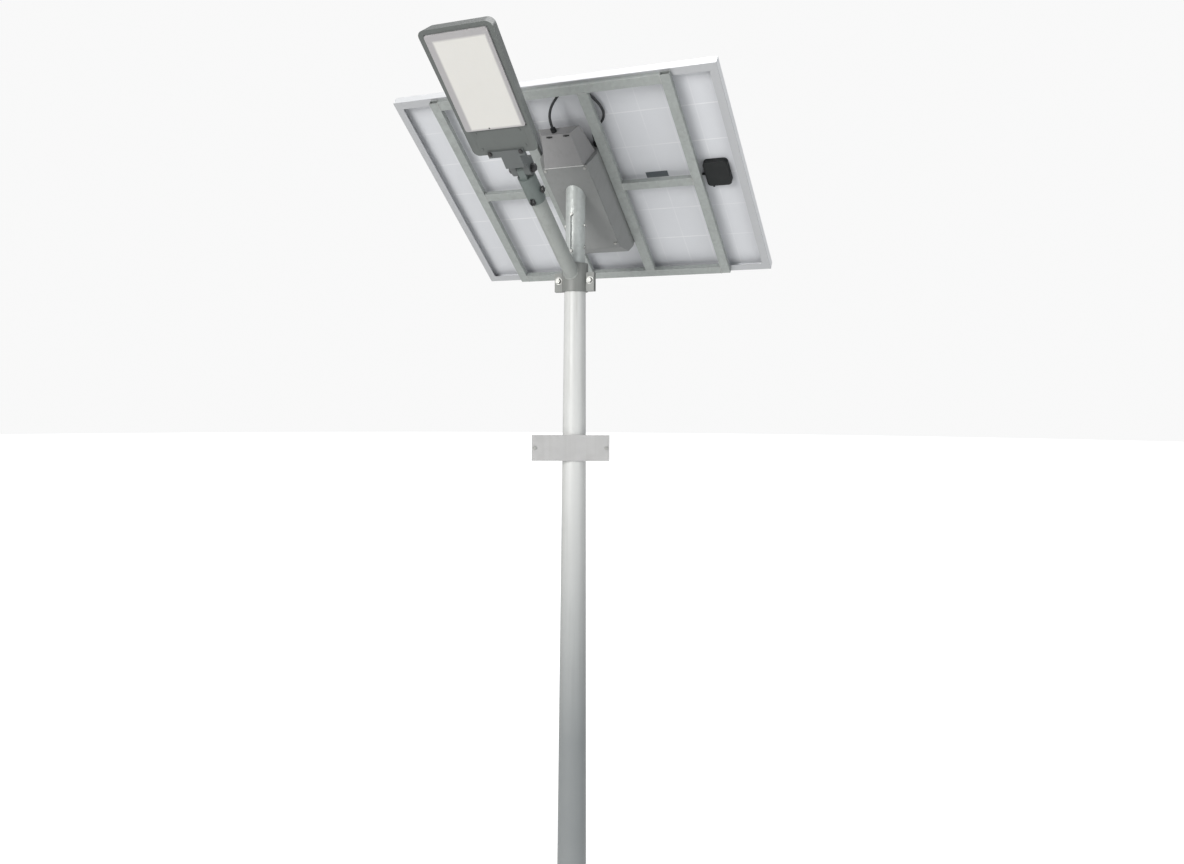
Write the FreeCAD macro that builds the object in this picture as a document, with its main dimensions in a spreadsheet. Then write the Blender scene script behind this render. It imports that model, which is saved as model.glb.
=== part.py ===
"""Solar street lamp: a tapered pole that carries a tilted solar module with its battery box,
and a swivelling arm with a tilting LED lamp head. Millimetres, +Z up, origin under the pole."""
import FreeCAD
import Part
import Sketcher
import math
import os

doc = FreeCAD.newDocument("SolarStreetLamp")
sheet = doc.addObject("Spreadsheet::Sheet", "Sizes")
sheet_rows = []


class Size:
    """A length or angle together with the spreadsheet formula that gives it."""

    def __init__(self, number, formula):
        self.number = float(number)
        self.formula = formula

    def __add__(self, other):
        other = as_size(other)
        return Size(self.number + other.number, f"({self.formula} + {other.formula})")

    def __sub__(self, other):
        other = as_size(other)
        return Size(self.number - other.number, f"({self.formula} - {other.formula})")

    def __mul__(self, other):
        other = as_size(other)
        return Size(self.number * other.number, f"({self.formula} * {other.formula})")

    def __truediv__(self, other):
        other = as_size(other)
        return Size(self.number / other.number, f"({self.formula} / {other.formula})")

    def __neg__(self):
        return Size(-self.number, f"(0 - {self.formula})")

    def __radd__(self, other):
        return as_size(other) + self

    def __rsub__(self, other):
        return as_size(other) - self

    def __rmul__(self, other):
        return as_size(other) * self


def as_size(value):
    """Gives a plain number as a Size."""
    return value if isinstance(value, Size) else Size(value, f"{float(value):.6f}")


def size(alias, number, note):
    """Writes one driving dimension in the sheet and returns it."""
    sheet_rows.append(alias)
    row = len(sheet_rows)
    sheet.set(f"A{row}", note)
    sheet.set(f"B{row}", f"{number}")
    sheet.setAlias(f"B{row}", alias)
    return Size(number, f"Sizes.{alias}")


def sine(angle):
    return Size(math.sin(math.radians(angle.number)), f"sin({angle.formula} * 1 deg)")


def cosine(angle):
    return Size(math.cos(math.radians(angle.number)), f"cos({angle.formula} * 1 deg)")


def slope_angle(rise, run):
    """Angle in degrees whose tangent is rise over run."""
    turn = math.degrees(math.atan(rise.number / run.number))
    return Size(turn, f"(atan({rise.formula} / {run.formula}) / 1 deg)")


# ---- Driving dimensions -------------------------------------------------------------------

panel_setback = size("panel_setback", 108, "pole axis back to the middle of the module")
panel_tilt = size("panel_tilt", 37, "module slope, front edge high, degrees")
sheet_gap = size("sheet_gap", 0.4, "air gap between pieces that turn past each other")
running_fit = size("running_fit", 0.05, "radial clearance of a part that turns on another")

base_width = size("base_width", 300, "side of the square base plate")
base_thick = size("base_thick", 16, "base plate thickness")
base_bolt_pitch = size("base_bolt_pitch", 220, "side of the anchor bolt square")
base_bolt_hole = size("base_bolt_hole", 22, "anchor bolt hole diameter")
base_wire_hole = size("base_wire_hole", 80, "cable hole in the base plate")
base_corner = size("base_corner", 22, "base plate corner cut")
gusset_height = size("gusset_height", 110, "foot gusset height")
gusset_reach = size("gusset_reach", 62, "foot gusset length from the pole wall")
gusset_thick = size("gusset_thick", 8, "foot gusset thickness")
gusset_toe = size("gusset_toe", 10, "short edges of the foot gusset")
pole_top = size("pole_top", 3632, "ground to the rim of the tapered pole")
panel_above_rim = size("panel_above_rim", 418, "pole rim up to the module's underside")
arm_above_rim = size("arm_above_rim", 43, "pole rim up to the arm axis")
sign_below_rim = size("sign_below_rim", 595, "pole rim down to the middle of the sign plate")
panel_height = pole_top + panel_above_rim
arm_height = pole_top + arm_above_rim
sign_height = pole_top - sign_below_rim
pole_base_diameter = size("pole_base_diameter", 129, "pole outside diameter at the foot")
pole_rim_diameter = size("pole_rim_diameter", 82, "pole outside diameter at the rim")
pole_wall = size("pole_wall", 4, "pole wall")

journal_diameter = size("journal_diameter", 76, "turned seat that the arm collar grips")
journal_height = size("journal_height", 108, "height of the arm collar seat")
spigot_diameter = size("spigot_diameter", 60.4, "spigot inside the mast sleeve")
spigot_height = size("spigot_height", 240, "spigot length above the collar seat")
spigot_bore = size("spigot_bore", 52, "cable way through the spigot")
spigot_root = size("spigot_root", 100, "spigot length inside the pole")

sign_width = size("sign_width", 294, "sign plate width")
sign_depth = size("sign_depth", 98, "sign plate height")
sign_thick = size("sign_thick", 2, "sign plate thickness")
sign_turn = size("sign_turn", 26, "turn of the sign round the pole, degrees")
sign_shift = size("sign_shift", -15, "sign plate middle beside the pole axis")
sign_bolt_inset = size("sign_bolt_inset", 12, "sign bolt to the plate's end")
sign_bolt = size("sign_bolt", 6, "sign bolt shank")
sign_bar_end = size("sign_bar_end", 6, "sign bolt to the bar's end, less than half its depth")
band_height = size("band_height", 26, "sign band height")
band_thick = size("band_thick", 3, "sign band thickness")
sign_bar_depth = size("sign_bar_depth", 30, "height of the bar behind the sign")
sign_bar_thick = size("sign_bar_thick", 4, "thickness of the bar behind the sign")

collar_wall = size("collar_wall", 12, "arm collar wall")
collar_split = size("collar_split", 3, "gap between the collar halves")
ear_reach = size("ear_reach", 82, "pole axis to the tip of a collar ear")
ear_height = size("ear_height", 72, "collar ear height")
ear_thick = size("ear_thick", 8, "collar ear thickness")
collar_bolt_reach = size("collar_bolt_reach", 65, "pole axis to a collar bolt")
collar_bolt_diameter = size("collar_bolt_diameter", 12, "collar bolt shank")
arm_rise = size("arm_rise", 37.4, "arm slope, degrees")
arm_diameter = size("arm_diameter", 57, "arm tube outside diameter")
arm_wall = size("arm_wall", 3.5, "arm tube wall")
arm_length = size("arm_length", 500, "pole axis to the end of the arm tube")
socket_start = size("socket_start", 418, "pole axis to the lamp socket's open end")
socket_end = size("socket_end", 530, "pole axis to the lamp socket's closed end")
socket_wall = size("socket_wall", 3.5, "lamp socket wall")
pivot_reach = size("pivot_reach", 560, "pole axis to the tilt bolt, along the arm")
tongue_thick = size("tongue_thick", 26, "thickness of the tongue between the ears")
knuckle_radius = size("knuckle_radius", 24, "outer radius of tongue and ears")
tilt_bolt_diameter = size("tilt_bolt_diameter", 16, "tilt bolt shank")
set_bolt = size("set_bolt", 8, "socket set bolt shank")
set_bolt_below = size("set_bolt_below", 18, "socket start to the lower set bolt")
set_bolt_beside = size("set_bolt_beside", 44, "socket start to the side set bolt")
bracket_bolt = size("bracket_bolt", 8, "bolt between tilt bracket and head")
bracket_bolt_side = size("bracket_bolt_side", 10, "flange side to a bracket bolt")
bracket_bolt_edge = size("bracket_bolt_edge", 7, "flange front to a bracket bolt")

lamp_rise = size("lamp_rise", 41, "lamp head slope, degrees")
head_shift = size("head_shift", -13, "lamp head middle beside the arm axis")
head_rear = size("head_rear", 94, "tilt bolt to the rear edge of the head")
head_length = size("head_length", 474, "lamp head length at its underside")
head_front_width = size("head_front_width", 264, "underside width at the front")
head_rear_width = size("head_rear_width", 244, "underside width at the rear")
head_drop = size("head_drop", 38, "tilt bolt down to the head's underside")
head_skirt = size("head_skirt", 50, "height of the head's lower tier")
head_crown = size("head_crown", 30, "height of the head's upper tier")
skirt_draft = size("skirt_draft", 12, "inward slope of the lower tier")
crown_draft = size("crown_draft", 30, "inward slope of the upper tier")
head_corner = size("head_corner", 24, "corner radius of the head")
crown_ledge = size("crown_ledge", 8, "ledge round the foot of the upper tier")
crown_corner = size("crown_corner", 18, "corner radius of the upper tier")
lens_width = size("lens_width", 224, "lens width")
lens_length = size("lens_length", 358, "lens length")
lens_rear = size("lens_rear", 194, "tilt bolt to the rear edge of the lens")
lens_proud = size("lens_proud", 5, "lens height below the underside")
lens_thick = size("lens_thick", 3, "lens wall")
lens_fit = size("lens_fit", 0.5, "gap round the lens in its opening")
lens_flange = size("lens_flange", 6, "lens flange that rests on the gasket")
lens_seat = size("lens_seat", 4, "underside up to the back of the lens flange")
gasket_gap = size("gasket_gap", 1, "gap round the gasket in its opening")
gasket_thick = size("gasket_thick", 3, "gasket thickness")
lens_corner = size("lens_corner", 9, "lens corner radius")
optic_margin = size("optic_margin", 7, "lens edge to the wall of the optic recess")
optic_depth = size("optic_depth", 36, "depth of the optic recess")
chamber_inset = size("chamber_inset", 42, "optic recess edge in to the cavity above its board")
head_roof = size("head_roof", 7, "metal left over the cavity")
led_rows = 5
led_columns = 12
led_pitch_across = size("led_pitch_across", 36, "LED pitch across the head")
led_pitch_along = size("led_pitch_along", 27, "LED pitch along the head")
led_side = size("led_side", 5, "LED package side")
led_thick = size("led_thick", 1.4, "LED package height")
board_thick = size("board_thick", 2, "LED board thickness")
bay_width = size("bay_width", 180, "driver bay width")
bay_length = size("bay_length", 68, "driver bay length")
bay_depth = size("bay_depth", 52, "driver bay depth")
bay_rear_wall = size("bay_rear_wall", 22, "head rear edge to the driver bay")
cover_lap = size("cover_lap", 5, "driver cover edge beyond its bay")
cover_thick = size("cover_thick", 3, "driver cover thickness")
cover_fit = size("cover_fit", 0.3, "gap round the driver cover")
cover_screw = size("cover_screw", 4, "driver cover screw shank")
cover_screw_side = size("cover_screw_side", 8, "bay side to a cover screw")
cover_screw_end = size("cover_screw_end", 6, "cover screw from the middle of the lap")
driver_side_gap = size("driver_side_gap", 25, "driver to a side of its bay")
driver_end_gap = size("driver_end_gap", 6, "driver to an end of its bay")
driver_height = size("driver_height", 34, "driver height")
fin_count = 9
fin_pitch = size("fin_pitch", 19, "cooling fin pitch")
fin_thick = size("fin_thick", 3, "cooling fin thickness")
fin_height = size("fin_height", 11, "cooling fin height above the crown")
fin_length = size("fin_length", 330, "cooling fin length")
flange_width = size("flange_width", 136, "tilt bracket flange width")
flange_lap = size("flange_lap", 14, "flange length under the head")
flange_thick = size("flange_thick", 7, "tilt bracket flange thickness")
cheek_thick = size("cheek_thick", 22, "thickness of a tilt bracket ear")

module_width = size("module_width", 1278, "solar module width")
module_length = size("module_length", 992, "solar module length down the slope")
frame_height = size("frame_height", 35, "module frame height")
frame_wall = size("frame_wall", 2, "module frame wall")
frame_flange = size("frame_flange", 30, "module frame lower flange width")
frame_lip = size("frame_lip", 10, "module frame lip over the glass")
frame_skin = size("frame_skin", 1.5, "thickness of the module frame's lips and flange")
module_bolt = size("module_bolt", 6, "bolts between module frame and rack")
module_bolt_hole = size("module_bolt_hole", 6.6, "clearance hole of a module bolt")
module_bolt_shift = size("module_bolt_shift", 300, "module bolts either side of the middle")
glass_thick = size("glass_thick", 3.2, "front glass")
cell_thick = size("cell_thick", 1, "cell layer with its encapsulant")
backsheet_thick = size("backsheet_thick", 0.6, "backsheet")
cell_columns = 12
cell_rows = 6
cell_width = size("cell_width", 100.5, "cell size across the module")
cell_length = size("cell_length", 156, "cell size down the module")
cell_gap = size("cell_gap", 2.6, "gap between cells")
rail_width = size("rail_width", 36, "support rail width")
rail_depth = size("rail_depth", 20, "support rail depth")
rail_wall = size("rail_wall", 2, "support rail wall")
rack_width = size("rack_width", 952, "support rack width")
rack_length = size("rack_length", 977, "support rack length")
inner_rail_shift = size("inner_rail_shift", 140, "middle of an inner rail to the pole axis")
inner_rail_width = size("inner_rail_width", 40, "inner rail width")
cross_shift = size("cross_shift", -8, "cross rail middle from the module middle")

box_drop = size("box_drop", 100, "module underside down to the box bottom")
box_shoulder = size("box_shoulder", 40, "module underside down to the box shoulder")
box_bevel_drop = size("box_bevel_drop", 70, "module underside down to the end of the bevel")
box_front = size("box_front", 196, "module middle forward to the box front wall")
box_bottom_back = size("box_bottom_back", 232, "module middle back to the end of the bottom")
box_back = size("box_back", 288, "module middle back to the box rear wall")
box_bottom_half = size("box_bottom_half", 92, "half width of the box bottom")
box_top_half = size("box_top_half", 118, "half width of the box shoulder")
box_wall = size("box_wall", 2, "battery box sheet")
saddle_thick = size("saddle_thick", 5, "saddle plate thickness")
tray_rise = size("tray_rise", 24, "battery tray height above the module underside")
pack_half = size("pack_half", 76, "half width of the battery pack")
pack_front = size("pack_front", 150, "module middle forward to the battery pack")
pack_back = size("pack_back", 210, "module middle back to the battery pack")
pack_clear = size("pack_clear", 6, "battery pack clearance below and above")
control_front_low = size("control_front_low", 318, "module middle to the control box front, low")
control_front_drop = size("control_front_drop", 60, "control box depth at its front")
control_front_half = size("control_front_half", 58, "half width low at the control box front")
control_back_half = size("control_back_half", 80, "half width low at the control box back")
control_flare = size("control_flare", 26, "outward slope of the control box sides")
control_lid_thick = size("control_lid_thick", 3, "control box lid thickness")
gland_diameter = size("gland_diameter", 20, "cable gland body")
gland_length = size("gland_length", 16, "cable gland length")
cord_diameter = size("cord_diameter", 10, "panel cable")

mast_diameter = size("mast_diameter", 75, "mast sleeve outside diameter")
slot_width = size("slot_width", 9, "clamping slot width")
slot_low = size("slot_low", 265, "module datum down to the slot's lower bolt")
slot_high = size("slot_high", 125, "module datum down to the slot's upper bolt")
set_bolt_high = size("set_bolt_high", 165, "module datum down to the upper side bolts")
set_bolt_low = size("set_bolt_low", 248, "module datum down to the lower side bolts")
mast_bolt_diameter = size("mast_bolt_diameter", 8, "mast sleeve bolt shank")

junction_shift = size("junction_shift", 531, "module middle to the junction box, across")
junction_back = size("junction_back", -13, "module middle to the junction box, down the slope")
junction_width = size("junction_width", 94, "junction box width")
junction_length = size("junction_length", 114, "junction box length")
junction_base_thick = size("junction_base_thick", 12, "junction box base height")
junction_lid_thick = size("junction_lid_thick", 12, "junction box lid height")
junction_corner = size("junction_corner", 16, "junction box corner radius")
label_shift = size("label_shift", 291, "module middle to the rating label, across")
label_back = size("label_back", -17, "module middle to the rating label, down the slope")
label_width = size("label_width", 88, "rating label width")
label_length = size("label_length", 28, "rating label length")
label_thick = size("label_thick", 0.5, "rating label thickness")


# ---- Frames of reference ------------------------------------------------------------------

ZERO = as_size(0)
FRAMES = {
    "ground": (ZERO, ZERO, ZERO),
    "module": (panel_setback, panel_height, panel_tilt),
    "arm": (ZERO, arm_height, arm_rise),
    "lamp": (
        -(pivot_reach * cosine(arm_rise)),
        arm_height + pivot_reach * sine(arm_rise),
        lamp_rise,
    ),
}


# ---- Helpers ------------------------------------------------------------------------------


def bind(item, **formulas):
    """Binds properties; a double underscore in a name stands for a dot."""
    for key, value in formulas.items():
        item.setExpression(key.replace("__", "."), as_size(value).formula)


def seat(item, frame, label):
    """Labels a finished sub-part and puts it in its frame of reference."""
    forward, upward, slope = FRAMES[frame]
    item.Label = label
    item.Placement = FreeCAD.Placement(
        FreeCAD.Vector(0, forward.number, upward.number),
        FreeCAD.Rotation(FreeCAD.Vector(1, 0, 0), -slope.number),
    )
    if frame != "ground":
        bind(item, Placement__Base__y=forward, Placement__Base__z=upward)
        bind(item, Placement__Rotation__Angle=-slope)
    return item


def new_body(name):
    return doc.addObject("PartDesign::Body", name + "_body")


def new_sketch(body, role, offset=ZERO):
    """Starts a sketch on one of the body's own origin planes."""
    sketch = body.newObject("Sketcher::SketchObject", body.Name + "_outline")
    plane = [item for item in body.Origin.OriginFeatures if item.Role == role][0]
    sketch.AttachmentSupport = (plane, [""])
    sketch.MapMode = "FlatFace"
    bind(sketch, AttachmentOffset__Base__z=offset)
    return sketch


def tie(sketch, edge, corner, across, along):
    """Holds one point of a sketch at bound distances from the origin."""
    for kind, value in (("DistanceX", across), ("DistanceY", along)):
        value = as_size(value)
        index = sketch.addConstraint(
            Sketcher.Constraint(kind, -1, 1, edge, corner, value.number)
        )
        sketch.setExpression(f"Constraints[{index}]", value.formula)


def outline(sketch, points):
    """Draws a closed polygon through bound points."""
    corners = [(as_size(x), as_size(y)) for x, y in points]
    first = sketch.GeometryCount
    for number, (x, y) in enumerate(corners):
        u, v = corners[(number + 1) % len(corners)]
        start = FreeCAD.Vector(x.number, y.number, 0)
        end = FreeCAD.Vector(u.number, v.number, 0)
        sketch.addGeometry(Part.LineSegment(start, end))
    for number, (x, y) in enumerate(corners):
        previous = first + (number - 1) % len(corners)
        sketch.addConstraint(
            Sketcher.Constraint("Coincident", previous, 2, first + number, 1)
        )
        tie(sketch, first + number, 1, x, y)


def rectangle(sketch, left, right, low, high):
    outline(sketch, [(left, low), (right, low), (right, high), (left, high)])


def circle(sketch, x, y, diameter):
    x, y, diameter = as_size(x), as_size(y), as_size(diameter)
    middle = FreeCAD.Vector(x.number, y.number, 0)
    normal = FreeCAD.Vector(0, 0, 1)
    edge = sketch.addGeometry(Part.Circle(middle, normal, diameter.number / 2))
    tie(sketch, edge, 3, x, y)
    index = sketch.addConstraint(Sketcher.Constraint("Diameter", edge, diameter.number))
    sketch.setExpression(f"Constraints[{index}]", diameter.formula)


def pad(body, sketch, length, centred=False):
    feature = body.newObject("PartDesign::Pad", body.Name + "_pad")
    feature.Profile = sketch
    feature.Midplane = centred
    bind(feature, Length=length)
    doc.recompute()
    return feature


def pocket(body, sketch, depth, centred=False, reverse=False):
    """Cuts a sketch into the body and makes sure that something was cut."""
    before = body.Shape.Volume
    feature = body.newObject("PartDesign::Pocket", body.Name + "_pocket")
    feature.Profile = sketch
    feature.Midplane = centred
    feature.Reversed = reverse
    bind(feature, Length=depth)
    doc.recompute()
    if body.Shape.Volume > before - 1e-6:
        raise RuntimeError("nothing was cut by " + feature.Name)
    return feature


def loft(body, kind, sections):
    """Joins polygons on parallel planes; each is (height, list of points)."""
    sketches = []
    for height, points in sections:
        sketch = new_sketch(body, "XY_Plane", height)
        outline(sketch, points)
        sketches.append(sketch)
    feature = body.newObject("PartDesign::" + kind, body.Name + "_loft")
    feature.Profile = sketches[0]
    feature.Sections = sketches[1:]
    feature.Ruled = True
    doc.recompute()
    return feature


def long_edges(feature, axis, tallest=None):
    """Names the straight edges that run mostly along an axis, or only those that end at a height."""
    names = []
    for number, edge in enumerate(feature.Shape.Edges):
        run = edge.Vertexes[-1].Point - edge.Vertexes[0].Point
        straight = run.Length > 1 and edge.Length < run.Length * 1.001
        top = max(vertex.Point.z for vertex in edge.Vertexes)
        wanted = tallest is None or abs(top - tallest.number) < 0.01
        if straight and wanted and abs(run.dot(axis)) > 0.5 * run.Length:
            names.append(f"Edge{number + 1}")
    return names


def round_edges(body, feature, axis, radius, tallest=None):
    """Fillets the edges of a feature that run along an axis."""
    fillet = body.newObject("PartDesign::Fillet", body.Name + "_fillet")
    fillet.Base = (feature, long_edges(feature, axis, tallest))
    bind(fillet, Radius=radius)
    doc.recompute()
    return fillet


UP = FreeCAD.Vector(0, 0, 1)


def slab(label, frame, xs, ys, zs, holes=(), corner=None):
    """A flat plate with round holes; xs, ys and zs are pairs of limits."""
    body = new_body(label)
    sketch = new_sketch(body, "XY_Plane", zs[0])
    rectangle(sketch, xs[0], xs[1], ys[0], ys[1])
    for x, y, diameter in holes:
        circle(sketch, x, y, diameter)
    feature = pad(body, sketch, zs[1] - zs[0])
    if corner is not None:
        round_edges(body, feature, UP, corner)
    return seat(body, frame, label)


def rail(label, along, xs, ys, zs, wall, holes=()):
    """A rectangular tube in the module frame, hollow along X or along Y; its top wall may be drilled."""
    body = new_body(label)
    role = "YZ_Plane" if along == "X" else "XZ_Plane"
    start = xs[0] if along == "X" else -ys[1]
    length = xs[1] - xs[0] if along == "X" else ys[1] - ys[0]
    sides = ys if along == "X" else xs
    sketch = new_sketch(body, role, start)
    rectangle(sketch, sides[0], sides[1], zs[0], zs[1])
    rectangle(sketch, sides[0] + wall, sides[1] - wall, zs[0] + wall, zs[1] - wall)
    pad(body, sketch, length)
    if holes:
        drilled = new_sketch(body, "XY_Plane", zs[1])
        for x, y, diameter in holes:
            circle(drilled, x, y, diameter)
        pocket(body, drilled, wall)
    return seat(body, "module", label)


def shape_object(kind, **formulas):
    """A Part primitive with bound sizes."""
    item = doc.addObject("Part::" + kind, kind + "_piece")
    bind(item, **formulas)
    return item


def move(item, x=ZERO, y=ZERO, z=ZERO, turn=None):
    """Puts a primitive at a bound place, turned so that its Z runs along turn."""
    if turn is not None:
        rotation = FreeCAD.Rotation(UP, FreeCAD.Vector(*turn))
        item.Placement = FreeCAD.Placement(FreeCAD.Vector(), rotation)
    bind(item, Placement__Base__x=x, Placement__Base__y=y, Placement__Base__z=z)
    return item


def cylinder(diameter, length, x=ZERO, y=ZERO, z=ZERO, turn=None):
    item = shape_object("Cylinder", Radius=diameter / 2, Height=length)
    return move(item, x, y, z, turn)


def box(xs, ys, zs):
    item = shape_object("Box", Length=xs[1] - xs[0], Width=ys[1] - ys[0], Height=zs[1] - zs[0])
    return move(item, xs[0], ys[0], zs[0])


def fuse(*items):
    item = doc.addObject("Part::MultiFuse", "Joined")
    item.Shapes = list(items)
    return item


def cut(item, *tools):
    result = doc.addObject("Part::Cut", "Trimmed")
    result.Base = item
    result.Tool = tools[0] if len(tools) == 1 else fuse(*tools)
    return result


def group(items):
    item = doc.addObject("Part::Compound", "Group")
    item.Links = list(items)
    return item


def hex_bolt(place, turn, shank, length, head_scale=1.8, nut_at=None):
    """A hexagon bolt whose shank starts under its head at a place and runs along turn."""
    stem = cylinder(shank, length)
    head = shape_object("Prism", Circumradius=shank * (head_scale / 2), Height=shank * 0.6)
    move(head, z=-(shank * 0.6))
    pieces = [stem, head]
    if nut_at is not None:
        nut = shape_object("Prism", Circumradius=shank * (head_scale / 2), Height=shank * 0.8)
        pieces.append(move(nut, z=nut_at))
    return move(fuse(*pieces), *place, turn=turn)


def ring_profile(label, frame, points):
    """A turned part: a closed outline of (radius, height) points round the Z axis."""
    body = new_body(label)
    sketch = new_sketch(body, "XZ_Plane")
    outline(sketch, points)
    feature = body.newObject("PartDesign::Revolution", body.Name + "_turned")
    feature.Profile = sketch
    feature.ReferenceAxis = (sketch, ["V_Axis"])
    feature.Angle = 360
    doc.recompute()
    return seat(body, frame, label)


# ---- Pole ---------------------------------------------------------------------------------

parts = []
half_pitch = base_bolt_pitch / 2
half_base = base_width / 2
foot_holes = [(ZERO, ZERO, base_wire_hole)]
for side_x in (-1, 1):
    for side_y in (-1, 1):
        foot_holes.append((half_pitch * side_x, half_pitch * side_y, base_bolt_hole))

# The base plate is a square with its corners cut off.
plate = new_body("base_plate")
plate_sketch = new_sketch(plate, "XY_Plane")
clip = half_base - base_corner
outline(
    plate_sketch,
    [
        (-clip, -half_base),
        (clip, -half_base),
        (half_base, -clip),
        (half_base, clip),
        (clip, half_base),
        (-clip, half_base),
        (-half_base, clip),
        (-half_base, -clip),
    ],
)
for x, y, diameter in foot_holes:
    circle(plate_sketch, x, y, diameter)
pad(plate, plate_sketch, base_thick)
parts.append(seat(plate, "ground", "base_plate"))


def pole_radius(height):
    """Outer radius of the tapered pole at a height."""
    slope = (pole_base_diameter - pole_rim_diameter) / 2 / (pole_top - base_thick)
    return pole_base_diameter / 2 - slope * (height - base_thick)


parts.append(
    ring_profile(
        "pole_tube",
        "ground",
        [
            (pole_base_diameter / 2, base_thick),
            (pole_rim_diameter / 2, pole_top),
            (pole_rim_diameter / 2 - pole_wall, pole_top),
            (pole_base_diameter / 2 - pole_wall, base_thick),
        ],
    )
)

gusset_top = base_thick + gusset_height
for quarter in range(4):
    label = f"base_gusset_{quarter + 1}"
    body = new_body(label)
    sketch = new_sketch(body, "XZ_Plane")
    foot = pole_radius(base_thick)
    outline(
        sketch,
        [
            (foot, base_thick),
            (foot + gusset_reach, base_thick),
            (foot + gusset_reach, base_thick + gusset_toe),
            (pole_radius(gusset_top) + gusset_toe, gusset_top),
            (pole_radius(gusset_top), gusset_top),
        ],
    )
    pad(body, sketch, gusset_thick, centred=True)
    seat(body, "ground", label)
    body.Placement = FreeCAD.Placement(FreeCAD.Vector(), FreeCAD.Rotation(UP, 45 + 90 * quarter))
    parts.append(body)

# The spigot post is turned in three steps: root in the pole, collar seat, mast spigot.
journal_top = pole_top + journal_height
spigot_top = journal_top + spigot_height
root_radius = pole_rim_diameter / 2 - pole_wall - running_fit
parts.append(
    ring_profile(
        "pole_spigot",
        "ground",
        [
            (spigot_bore / 2, pole_top - spigot_root),
            (root_radius, pole_top - spigot_root),
            (root_radius, pole_top),
            (journal_diameter / 2, pole_top),
            (journal_diameter / 2, journal_top),
            (spigot_diameter / 2, journal_top),
            (spigot_diameter / 2, spigot_top),
            (spigot_bore / 2, spigot_top),
        ],
    )
)


# ---- Sign ---------------------------------------------------------------------------------

band_low = sign_height - band_height / 2
band_high = sign_height + band_height / 2
parts.append(
    ring_profile(
        "sign_band",
        "ground",
        [
            (pole_radius(band_low), band_low),
            (pole_radius(band_low) + band_thick, band_low),
            (pole_radius(band_low) + band_thick, band_high),
            (pole_radius(band_high), band_high),
        ],
    )
)
bar_back = pole_radius(band_low) + band_thick
sign_bolts_at = sign_width / 2 - sign_bolt_inset


def sign_piece(label, half_width, height, near, far):
    """An upright plate in front of the pole with a hole near each end."""
    body = new_body(label)
    sketch = new_sketch(body, "XZ_Plane", near)
    low, high = sign_height - height / 2, sign_height + height / 2
    rectangle(sketch, sign_shift - half_width, sign_shift + half_width, low, high)
    for side in (-1, 1):
        circle(sketch, sign_shift + sign_bolts_at * side, sign_height, sign_bolt)
    pad(body, sketch, far - near)
    body.Label = label
    bind(body, Placement__Rotation__Angle=sign_turn)
    return body


bar_half = sign_bolts_at + sign_bar_depth / 2 - sign_bar_end
parts.append(
    sign_piece("sign_bar", bar_half, sign_bar_depth, bar_back, bar_back + sign_bar_thick)
)
sign_back = bar_back + sign_bar_thick
sign_front = sign_back + sign_thick
parts.append(sign_piece("sign_plate", sign_width / 2, sign_depth, sign_back, sign_front))
sign_bolts = []
for side in (-1, 1):
    place = (sign_shift + sign_bolts_at * side, -sign_front, sign_height)
    length = sign_front - bar_back + 4
    sign_bolts.append(hex_bolt(place, (0, 1, 0), sign_bolt, length, head_scale=2))
sign_bolt_group = group(sign_bolts)
sign_bolt_group.Label = "sign_bolts"
bind(sign_bolt_group, Placement__Rotation__Angle=sign_turn)
parts.append(sign_bolt_group)


# ---- Arm ----------------------------------------------------------------------------------

collar_bore = journal_diameter + running_fit * 2
collar_outside = collar_bore + collar_wall * 2
collar_low = pole_top + sheet_gap
collar_high = journal_top
collar_deep = collar_high - collar_low
far_reach = as_size(200)
collar_bolt_height = arm_height
for label, side in (("collar_front", -1), ("collar_rear", 1)):
    shell = cylinder(collar_outside, collar_deep, z=collar_low)
    near = collar_split / 2 * side
    ear_far = near + ear_thick * side
    ear_limits = (ear_far, near) if side < 0 else (near, ear_far)
    ears = box((-ear_reach, ear_reach), ear_limits, (collar_low, collar_low + ear_height))
    whole = fuse(shell, ears)
    bore = cylinder(collar_bore, collar_deep + 20, z=collar_low - 10)
    away = (near, far_reach) if side < 0 else (-far_reach, near)
    other_half = box((-far_reach, far_reach), away, (collar_low - 10, collar_high + 10))
    holes = []
    for end in (-1, 1):
        holes.append(
            cylinder(
                collar_bolt_diameter,
                as_size(100),
                collar_bolt_reach * end,
                as_size(-50),
                collar_bolt_height,
                turn=(0, 1, 0),
            )
        )
    parts.append(seat(cut(whole, bore, other_half, *holes), "ground", label))

ear_outer = collar_split / 2 + ear_thick
collar_bolts = []
for end in (-1, 1):
    place = (collar_bolt_reach * end, -ear_outer, collar_bolt_height)
    collar_bolts.append(
        hex_bolt(
            place,
            (0, 1, 0),
            collar_bolt_diameter,
            ear_outer * 2 + collar_bolt_diameter * 1.2,
            nut_at=ear_outer * 2,
        )
    )
parts.append(seat(group(collar_bolts), "ground", "collar_bolts"))

# The arm tube is welded to the front collar half, so its root is scribed to that cylinder.
ALONG_ARM = (0, -1, 0)
arm_outer = cylinder(arm_diameter, arm_length, turn=ALONG_ARM)
arm_inner = cylinder(arm_diameter - arm_wall * 2, arm_length, turn=ALONG_ARM)
arm_blank = seat(cut(arm_outer, arm_inner), "arm", "arm_blank")
scribe = cylinder(collar_outside, as_size(600), z=arm_height - 300)
parts.append(seat(cut(arm_blank, scribe), "ground", "arm_tube"))

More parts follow.
